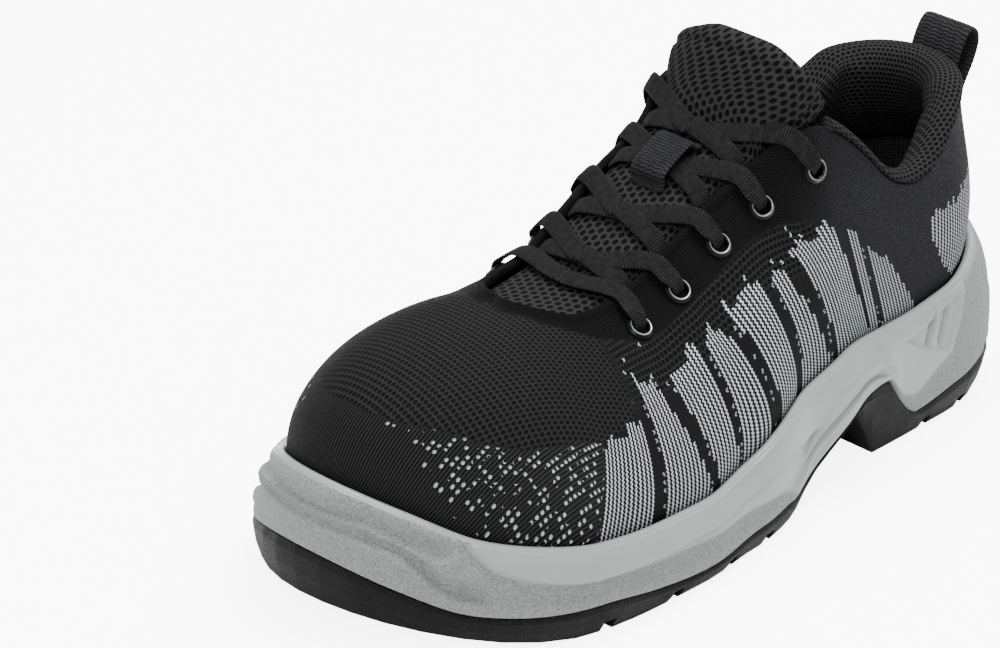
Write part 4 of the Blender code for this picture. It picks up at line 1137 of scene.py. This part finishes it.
def tongue_pad():
    """The padded tongue: a sheet through the rows of its outer face, made thick with round sides,
    and a sewn channel inside the border of its free end."""
    rows = through(through(tongue_face(), 8).swapaxes(0, 1), 8).swapaxes(0, 1)
    count, width = rows.shape[:2]
    normal = unit(np.cross(np.gradient(rows, axis=0), np.gradient(rows, axis=1)))
    normal *= np.sign(normal[count // 2, width // 2, 2])
    share = np.linspace(0.0, len(TONGUE) + len(TIP) - 1.0, count)
    free = ease(share, len(TONGUE) - 3, len(TONGUE) + len(TIP) - 1)
    thick = TONGUE_THICKNESS + (TONGUE_TIP_THICKNESS - TONGUE_THICKNESS) * free
    way = travelled(rows.swapaxes(0, 1)).T
    across = way / way[:, -1:] * 2.0 - 1.0
    along = travelled(rows[:, width // 2])
    round_side = (1.0 - np.abs(across)**7)**0.5
    to_end = along[-1] - along
    round_tip = np.sqrt(1.0 - np.clip(1.0 - to_end / (TONGUE_TIP_THICKNESS * 0.7), 0.0, 1.0)**2)
    round_front = np.sqrt(1.0 - np.clip(1.0 - along / TONGUE_FRONT_ROUND, 0.0, 1.0)**2)
    depth = thick[:, None] * round_side * (round_tip * round_front)[:, None]
    middle = rows - normal * thick[:, None, None] * 0.5
    border = np.minimum(to_end[:, None], (1.0 - np.abs(across)) * way[:, -1:] * 0.5)
    seam = SEAM_DEPTH * bell(border - SEAM_INSET, SEAM_WIDTH) * (free > 0.1)[:, None]
    top = middle + normal * (depth * 0.5 - seam)[..., None]
    under = middle - normal * (depth * 0.5)[..., None]
    grid = np.concatenate([top, under[:, -2:0:-1]], axis=1)
    turn = np.concatenate([way, way[:, -1:] * 2.0 - way[:, -2:0:-1], way[:, -1:] * 2.0], axis=1)
    cloth = np.stack([np.broadcast_to(along[:, None], turn.shape), turn], -1) * 1000.0
    piece = skin("tongue_pad", grid, (False, True), (("cloth", cloth),), caps=True)
    return done(piece, spacer_finish("tongue_mesh_cloth", 3.1), ("tongue",))


# Side of the foam: places are a share along the sole and a share from parting line to rim
TOE_WAVES = (((0.0, 0.58), (0.014, 0.68), (0.034, 0.66), (0.05, 0.64), (0.066, 0.74), (0.08, 1.05)),
             ((0.0, 0.40), (0.014, 0.47), (0.032, 0.49), (0.045, 0.38), (0.057, 0.24),
              (0.075, 0.16), (0.10, 0.14)))
TOE_WAVE_DEPTH = 0.0017
TOE_WAVE_SOFT = 0.045
BAND = ((0.060, 1.02), (0.074, 0.92), (0.089, 0.72), (0.118, 0.59), (0.16, 0.50), (0.196, 0.47),
        (0.261, 0.52), (0.339, 0.60), (0.43, 0.62), (0.507, 0.60), (0.56, 0.52), (0.62, 0.42))
ARCH_LINES = (
    ((0.535, 0.30), (0.575, 0.44), (0.615, 0.52), (0.655, 0.53), (0.69, 0.45), (0.73, 0.22)),
    ((0.50, 0.02), (0.56, 0.20), (0.61, 0.30), (0.655, 0.33), (0.685, 0.26), (0.715, 0.05)),
)
HEEL_PANEL = ((0.744, 0.80), (0.868, 0.93), (0.828, 0.42))
HEEL_SLOTS = (((0.812, 0.83), (0.797, 0.64)), ((0.838, 0.82), (0.820, 0.58)))
GRAIN_EDGE = ((0.70, 0.0), (0.745, 0.12), (0.80, 0.32), (0.832, 0.40), (0.874, 0.95), (0.885, 1.3),
              (1.0, 1.3))
GRAIN_FRONT = ((0.0, 0.97), (0.060, 0.97), (0.075, 0.84), (0.089, 0.66), (0.118, 0.53), (0.16, 0.45),
               (0.196, 0.41), (0.26, 0.44), (0.34, 0.46), (0.43, 0.36), (0.50, 0.18), (0.53, 0.0),
               (1.0, 0.0))

# The foam's rim as shares of its thickness, inward and down, and the ribs at the back
RIM_ROUND = ((0.0, 0.35), (0.12, 0.12), (0.35, 0.0), (0.65, 0.0), (0.88, 0.12), (1.0, 0.4))
BACK_RIB_PITCH = 0.0095
SIDE_HEIGHT = 0.024
PANEL_DEPTH = 0.0011
SLOT_DEPTH = 0.0018
SLOT_RADIUS = 0.0015
BAND_DEPTH = 0.0015
ARCH_LINE_DEPTHS = (0.0016, 0.0012)


def below_line(line, along, level, width):
    """1 below a line given by its points and 0 above it, over a width in shares of the height."""
    middle = np.interp(along, *np.array(line).T)
    return 1.0 - ease(level, middle - 0.5 * width, middle + 0.5 * width)


def ridge_line(line, along, level, width):
    """A soft ridge along a line given by its points, 0 outside the line's ends."""
    first, last = line[0][0], line[-1][0]
    ends = ease(along, first, first + 0.02) * (1.0 - ease(along, last - 0.02, last))
    return bell(level - np.interp(along, *np.array(line).T), width) * ends


def inside_corner(corners, along, level, scale, soft):
    """How far inside a convex shape each place is, from 0 outside to 1 past the soft edge."""
    inside = np.full(along.shape, 1e9)
    centre = np.mean(corners, axis=0)
    for i, start in enumerate(corners):
        start = np.array(start)
        side = np.array(corners[(i + 1) % len(corners)]) - start
        square = unit(np.array([-side[1] * scale[1], side[0] * scale[0]]))
        square *= np.sign(((centre - start) * scale) @ square) * scale
        inside = np.minimum(inside, (along - start[0]) * square[0] + (level - start[1]) * square[1])
    return ease(inside, 0.0, soft)


def slot_depth(ends, along, level, scale, radius):
    """A round-ended slot between two places, 1 along its middle and 0 outside."""
    start, end = (np.array(place) * scale for place in ends)
    way = end - start
    x = along * scale[0] - start[0]
    y = level * scale[1] - start[1]
    share = np.clip((x * way[0] + y * way[1]) / (way @ way), 0.0, 1.0)
    off = np.hypot(x - share * way[0], y - share * way[1])
    return 1.0 - ease(off, radius * 0.55, radius)


def foam_cup():
    """The midsole: a band of rings from the parting line to the rim and over into the cup, drawn in
    by the stepped waves at the toe, the band under the rim, the lines over the arch, the heel
    panel with its slots, and the ribs at the back."""
    toe = 0.25 * (1.0 - np.cos(np.linspace(0.0, math.pi / 2.0, 110)))
    heel = 1.0 - 0.15 * (1.0 - np.cos(np.linspace(math.pi / 2.0, 0.0, 90)))
    stations = np.concatenate([toe[:-1], np.linspace(0.25, 0.85, 330), heel[1:]])
    along, sides = around(stations)
    base = parting_height(along)
    rim = rim_height(along)
    tall = rim - base
    lean = HEEL_LEAN * ease(along, 0.84, 0.98)
    level = np.concatenate([[0.0, 0.012], np.linspace(0.03, 0.95, 58), [0.975]])[:, None]
    width = np.broadcast_to(along, (len(level), len(along)))
    levels = np.broadcast_to(level, width.shape)
    scale = np.array([SOLE_LENGTH, SIDE_HEIGHT])
    inset = (SIDE_BULGE + lean) * smooth((0.0, 0.45, 0.8, 1.0), (0.0, 0.16, 0.56, 1.0), levels)
    inset = inset + 0.0009 * np.exp(-level / 0.012)
    for line in TOE_WAVES:
        ends = TOE_WAVE_DEPTH * (1.0 - ease(width, line[-1][0] - 0.03, line[-1][0]))
        lower = below_line(line, width, levels, TOE_WAVE_SOFT)
        above = levels - np.interp(width, *np.array(line).T)
        inset = inset + (1.0 - lower) * (1.0 - ease(above, 0.06, 0.30)) * ends
        inset = inset - 0.35 * ridge_line(line, width, levels + TOE_WAVE_SOFT, 0.05) * ends
    band = below_line(BAND, width, levels, 0.07) * ease(width, 0.062, 0.072)
    band = band * (1.0 - ease(width, 0.55, 0.62))
    inset = inset + BAND_DEPTH * band * ease(levels, 0.0, 0.25)
    for depth, line in zip(ARCH_LINE_DEPTHS, ARCH_LINES):
        inset = inset - depth * ridge_line(line, width, levels, 0.055)
    panel = inside_corner(HEEL_PANEL, width, levels, scale, 0.0012)
    slots = [slot_depth(ends, width, levels, scale, SLOT_RADIUS) for ends in HEEL_SLOTS]
    slots = np.maximum(*slots)
    inset = inset + PANEL_DEPTH * panel + SLOT_DEPTH * slots
    back = np.cos((1.0 - along) * SOLE_LENGTH / BACK_RIB_PITCH * 2.0 * math.pi)
    ribs = BACK_RIB_DEPTH * 0.5 * (1.0 - back) * ease(along, 0.90, 0.95)
    inset = inset + ribs * (1.0 - ease(levels, 0.75, 0.95))
    grain = below_line(GRAIN_FRONT, width, levels, 0.06)
    grain = np.maximum(grain, below_line(GRAIN_EDGE, width, levels, 0.06) * (width > 0.69))
    grain = grain * (1.0 - panel) * (1.0 - ease(levels, 0.96, 1.0) * (width > 0.06))
    rows = [ring_at(along, sides, inset[i], base + tall * level[i]) for i in range(len(level))]
    for share, drop in RIM_ROUND:
        inward = SIDE_BULGE + lean + RIM_THICKNESS * share
        rows.append(ring_at(along, sides, inward, rim - RIM_THICKNESS * drop))
    for share in (0.5, 1.0):
        rows.append(ring_at(along, sides, inward, rim + (deck_height(along) - rim) * share))
    floor_ring = rows[-1]
    for share in (0.25, 0.55, 0.8, 0.96):
        ring = floor_ring * (1.0 - share, 1.0 - share, 1.0)
        ring[:, 0] += (along - 0.5) * SOLE_LENGTH * 0.9 * share
        rows.append(ring)
    for share in (0.96, 0.5):
        ring = ring_at(along, sides, 0.0009, base) * (1.0, 1.0 - share, 1.0)
        ring[:, 1] += TOE_OFFSET * share * (along < 0.5)
        rows.append(ring)
    pad = np.zeros((len(rows) - len(level), len(along)))
    # Painted shade mask for the foam's colour: full in the heel slots, faint over the heel panel
    painted_groove_shade_field = np.maximum(slots, panel * 0.12)
    fields = [(title, np.concatenate([values, pad])) for title, values in
              (("pebble", grain), ("painted_groove_shade", painted_groove_shade_field))]
    piece = skin("midsole_foam_cup", np.array(rows), (True, True), (), fields)
    return done(piece, foam_finish(), ("midsole",))


def ring_at(along, sides, inset, height):
    """One ring around the sole at a distance inside its outline."""
    x, y = outline(along, sides, inset)
    return np.column_stack([x, y, np.broadcast_to(height, x.shape)])


def rubber_sole():
    """A merged copy of the frame's outsole with small round edges."""
    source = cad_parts["outsole"]
    edit = bmesh.new()
    edit.from_mesh(source.data)
    bmesh.ops.remove_doubles(edit, verts=edit.verts, dist=0.00002)
    flat = math.radians(1.0)
    bmesh.ops.dissolve_limit(edit, angle_limit=flat, verts=edit.verts, edges=edit.edges)
    mesh = bpy.data.meshes.new("outsole_rubber")
    edit.to_mesh(mesh)
    edit.free()
    piece = add_object("outsole_rubber", mesh)
    mesh.shade_smooth()
    change = piece.modifiers.new("round_edges", "BEVEL")
    change.width = 0.0007
    change.segments = 2
    change.limit_method = "ANGLE"
    change.angle_limit = math.radians(32.0)
    change.harden_normals = True
    return done(piece, rubber_finish(), ("outsole",))


def insole_board():
    """The insole: closed rings from under its edge, over it and in to its middle line."""
    _, inner, normal = upper_faces(UPPER_STATIONS, SECTION_SHARES)
    rows = []
    for height, inset in ((0.0, 0.0016), (0.3, 0.0002), (0.6, 0.0), (0.9, 0.0006), (1.0, 0.0018),
                          (1.0, 0.006)):
        ring = inner[0] - normal[0] * (2.0 * GAP + inset)
        ring[:, 2] = inner[0][:, 2] + height * INSOLE_THICKNESS
        rows.append(ring)
    for share in (0.75, 0.5, 0.25):
        ring = rows[5].copy()
        ring[:, 1] = centre_line(ring[:, 0]) + (ring[:, 1] - centre_line(ring[:, 0])) * share
        rows.append(ring)
    for start in (rows[-1], rows[0]):
        shut = start.copy()
        shut[:, 1] = centre_line(shut[:, 0])
        rows.append(shut)
    piece = skin("insole_cloth", np.array(rows), (True, True))
    return done(piece, textile_finish(), ("insole",))


def tape(name, centres, normals, widths, thickness, material, nodes=(), round_power=5.0):
    """A flat woven band with round edges along a smooth curve through the centres."""
    centres, normals, widths = (through(values, 8) for values in (centres, normals, widths))
    along = np.gradient(centres, axis=0)
    across = unit(np.cross(along, normals))
    square = unit(np.cross(across, along))
    spread = np.sin(np.linspace(-math.pi / 2.0, math.pi / 2.0, 15))
    rise = (1.0 - np.abs(spread)**round_power)**0.5
    profile = np.concatenate([np.stack([spread, rise], 1), np.stack([spread, -rise], 1)[-2:0:-1]])
    wide, high = (profile[:, None, axis] * 0.5 for axis in range(2))
    grid = (centres[:, None] + across[:, None] * wide * widths[:, None, None]
            + square[:, None] * (high * thickness))
    way = travelled(centres) * 1000.0
    chart = np.concatenate([np.abs(profile[:, 0]), np.abs(profile[:1, 0])])
    weave = np.stack(np.broadcast_arrays(way[:, None], chart[None]), -1)
    piece = skin(name, grid, (False, True), (("tape", weave),), caps=True)
    return done(piece, material, nodes)


def through_eyelet(place, last, end, side):
    """The lace's end: over the throat's edge, onto the eyelet's ring and down through its bore."""
    centre, normal = place
    top = centre + normal * (SOFT_GAP + EYELET_HEIGHT + LACE_THICKNESS * 0.55)
    reach = SOLE_LENGTH - 2.0 * (SIDE_BULGE + RIM_THICKNESS + GAP)
    station = np.array([(end + (centre[0] - end) * LACE_EDGE_SHARE) / reach + 0.5])
    edge = upper_outer(station, np.array([side]), (1.0,))[0, 0]
    edge[2] += LACE_THICKNESS * 0.5 + LACE_EDGE_RISE * 0.35
    inward = unit(edge - top - normal * np.dot(edge - top, normal))
    middle = top + inward * EYELET_FLANGE * 1.15
    points = [edge, middle]
    for start, (along, out) in ((top, LACE_LIP), (centre, LACE_MOUTH), (centre, LACE_END)):
        points.append(start + inward * along + normal * out)
    tilt = unit(normal * 0.3 - inward)
    faces = [(last + normal) / 2.0, normal, normal * 0.85 - inward * 0.45, tilt, tilt]
    widths = [LACE_WIDTH, LACE_WIDTH, LACE_WIDTH * 0.76, LACE_MOUTH_WIDTH, LACE_END_WIDTH]
    return points, faces, widths


def laces():
    """The front band from eyelet to eyelet, and two crossing bands behind each pair of them."""
    material = woven_finish("lace_weave", (0.0006, 0.0006, 0.0007), (0.0140, 0.0140, 0.0147),
                            0.0008, 0.0001)
    thick = LACE_THICKNESS * LACE_TAUT
    places = eyelet_places()
    centres, normals = across_tongue(EYELET_FRONT, EYELET_FRONT, 1.0, 0.0)
    first = through_eyelet(places["medial", 1], normals[0], EYELET_FRONT, 1.0)
    last = through_eyelet(places["lateral", 1], normals[-1], EYELET_FRONT, -1.0)
    centres = centres[2:-2]
    normals = normals[2:-2]
    widths = first[2][::-1] + [LACE_WIDTH] * len(centres) + last[2]
    tape("lace_band_front", first[0][::-1] + centres + last[0], first[1][::-1] + normals + last[1],
         widths, thick, material, ("lace_bar",))
    pitch = (EYELET_REAR - EYELET_FRONT) / (EYELETS_PER_SIDE - 1)
    shares = (-0.98,) + LACE_SHARES
    for number in range(1, EYELETS_PER_SIDE):
        end = min(EYELET_FRONT + pitch * number - LACE_BACK, LACE_LAST)
        ahead = LACE_FIRST_START if number == 1 else LACE_START
        start = min(EYELET_FRONT + pitch * (number - 1) + ahead, LACE_LAST - LACE_LAST_RUN)
        for side, word, lift in ((1.0, "lateral", 0.0), (-1.0, "medial", LACE_THICKNESS * 0.9)):
            centres, normals = across_tongue(start, end, side, lift, shares)
            centres[0] = centres[0] - normals[0] * LACE_THICKNESS * 0.5
            last = through_eyelet(places[word, number + 1], normals[-1], end, -side)
            centres = centres[:-2]
            normals = normals[:-2]
            nodes = (f"lace_crossing_{number}",) if side > 0.0 else ()
            widths = [LACE_WIDTH] * len(centres) + last[2]
            tape(f"lace_band_{number}_to_{word}", centres + last[0], normals + last[1], widths, thick,
                 material, nodes)


def eyelet_rings():
    """Turned rings with a rolled flange, and a bright painted highlight line round its crown."""
    metal = metal_finish()
    turns = np.linspace(0.0, 2.0 * math.pi, 49)[:-1]
    barrel = EYELET_BORE + EYELET_WALL
    top = SOFT_GAP + EYELET_HEIGHT
    profile = np.array([
        (EYELET_BORE, -UPPER_WALL), (barrel, -UPPER_WALL), (barrel, SOFT_GAP * 0.5),
        (EYELET_FLANGE - 0.0007, SOFT_GAP), (EYELET_FLANGE - 0.0004, SOFT_GAP + 0.0002),
        (EYELET_FLANGE - 0.0006, top * 0.62), (EYELET_FLANGE - 0.0012, top * 0.80),
        (EYELET_BORE + 0.0009, top), (EYELET_BORE + 0.0005, top * 0.95), (EYELET_BORE, top * 0.6)])
    # Painted highlight: the crown point of the profile takes 0.55 of the bright tone
    painted_crown_highlight = np.array([0.0, 0.0, 0.0, 0.0, 0.0, 0.0, 0.0, 0.55, 0.0, 0.0])
    for (word, number), (centre, normal) in eyelet_places().items():
        first = unit(np.cross(normal, (1.0, 0.0, 0.0)))
        second = np.cross(normal, first)
        out = first * np.cos(turns)[:, None] + second * np.sin(turns)[:, None]
        grid = centre + out[:, None] * profile[None, :, :1] + normal * profile[None, :, 1:]
        name = f"eyelet_ring_{word}_{number}"
        piece = skin(name, grid, (True, True), (), (("painted_crown_highlight", painted_crown_highlight[None]),))
        done(piece, metal, (f"eyelet_{word}_{number}",), 50.0)


def keeper_tape():
    """The keeper over the third crossing, sewn down at both ends."""
    pitch = (EYELET_REAR - EYELET_FRONT) / (EYELETS_PER_SIDE - 1)
    middle = EYELET_FRONT + pitch * (KEEPER_CROSSING - 0.5) + (LACE_START - LACE_BACK) * 0.5
    lift = LACE_GAP + LACE_THICKNESS * 1.9 + GAP
    centres = []
    normals = []
    for share, height in ((-1.05, 0.0),) + KEEPER_ARCH + ((1.05, 0.0),):
        x = middle + share * KEEPER_REACH
        spot = over_tongue(x, 0.0)
        slope = over_tongue(x + 0.001, 0.0) - over_tongue(x - 0.001, 0.0)
        up = np.array([-slope[2], 0.0, slope[0]]) / np.linalg.norm(slope)
        centres.append(spot + up * (GAP + WEBBING_THICKNESS * 0.4 + lift * height))
        normals.append(up)
    webbing = woven_finish("keeper_webbing", (0.003, 0.003, 0.0035), (0.018, 0.018, 0.019), 0.0011,
                           WEBBING_BUMP)
    tape("keeper_tape", centres, normals, [KEEPER_WIDTH] * len(centres), WEBBING_THICKNESS, webbing,
         ("tongue_lace_keeper",), 9.0)


def pull_tape():
    """The pull loop: tape from the heel seam up, over and back down, leaning to the rear."""
    shares = np.linspace(0.5, 1.0, 11)
    along, sides = around((0.98, 0.99, 1.0))
    outer = upper_outer(along, sides, shares)[:, int(np.argmax(along))]
    half = WEBBING_THICKNESS * 0.5
    foot = LOOP_TOP - LOOP_RISE
    way = np.array(LOOP_WAY)
    z = foot + way[:, 1] * (LOOP_RISE - half)
    x = np.interp(z, outer[:, 2], outer[:, 0]) + SOFT_GAP + half + way[:, 0] * (LOOP_REACH - half)
    centres = np.column_stack([x, np.full(len(x), outer[-1, 1]), z])
    step = np.gradient(centres, axis=0)
    normals = np.column_stack([step[:, 2], np.zeros(len(x)), -step[:, 0]])
    webbing = woven_finish("loop_webbing", (0.003, 0.003, 0.0033), (0.021, 0.021, 0.022), 0.0012,
                           WEBBING_BUMP)
    tape("pull_loop_tape", centres, normals, [LOOP_WIDTH] * len(x), WEBBING_THICKNESS, webbing,
         ("heel_pull_loop",), 9.0)


def place_camera():
    """The camera at its distance from the target, turned, raised and rolled."""
    turn, rise, roll = (math.radians(value) for value in CAMERA_TURN)
    level = math.cos(rise)
    back = Vector((math.sin(turn) * level, -math.cos(turn) * level, math.sin(rise)))
    right = (-back).cross(Vector((0.0, 0.0, 1.0))).normalized()
    up = right.cross(-back)
    turned_right = right * math.cos(roll) + up * math.sin(roll)
    turned_up = up * math.cos(roll) - right * math.sin(roll)
    data = bpy.data.cameras.new("camera")
    data.lens = CAMERA_LENS
    data.sensor_width = 36.0
    data.clip_end = 20.0
    camera = add_object("camera", data)
    place = Vector(CAMERA_TARGET) + back * CAMERA_DISTANCE
    axes = Matrix((turned_right, turned_up, back)).transposed().to_4x4()
    camera.matrix_world = Matrix.Translation(place) @ axes
    bpy.context.scene.camera = camera


def place_light(name, place, size, power):
    """A round lamp that faces the shoe."""
    data = bpy.data.lights.new(name, "AREA")
    data.shape = "DISK"
    data.size = size
    data.energy = power
    lamp = add_object(name, data)
    lamp.location = place
    lamp.rotation_euler = (Vector(LIGHT_AIM) - Vector(place)).to_track_quat("-Z", "Y").to_euler()


def studio():
    """A pale floor, an even bright sky, and three large soft lamps."""
    mesh = bpy.data.meshes.new("floor")
    signs = ((-1, -1), (1, -1), (1, 1), (-1, 1))
    corners = [(x * FLOOR_REACH, y * FLOOR_REACH, 0.0) for x, y in signs]
    mesh.from_pydata(corners, [], [(0, 1, 2, 3)])
    floor = add_object("floor", mesh)
    made, net, shader = finish("floor_pale", 0.9)
    shade = net.noise(net.place(), 3.0)
    net.put(shader["Base Color"], net.paint((0.86, 0.86, 0.86), (shade, (0.88, 0.88, 0.88))))
    shader["Emission Color"].default_value = (1.0, 1.0, 1.0, 1.0)
    seen = net.wire("LightPath", {}, "Is Camera Ray")
    net.put(shader["Emission Strength"], seen * FLOOR_GLOW)
    mesh.materials.append(made)
    world = bpy.data.worlds.new("studio")
    world.use_nodes = True
    sky = world.node_tree.nodes["Background"].inputs
    sky["Color"].default_value = (1.0, 1.0, 1.0, 1.0)
    sky["Strength"].default_value = SKY_STRENGTH
    bpy.context.scene.world = world
    for lamp in LAMPS:
        place_light(*lamp)


place_camera()
studio()
knit_upper()
foam_cup()
rubber_sole()
insole_board()
collar_pad()
tongue_pad()
laces()
eyelet_rings()
keeper_tape()
pull_tape()
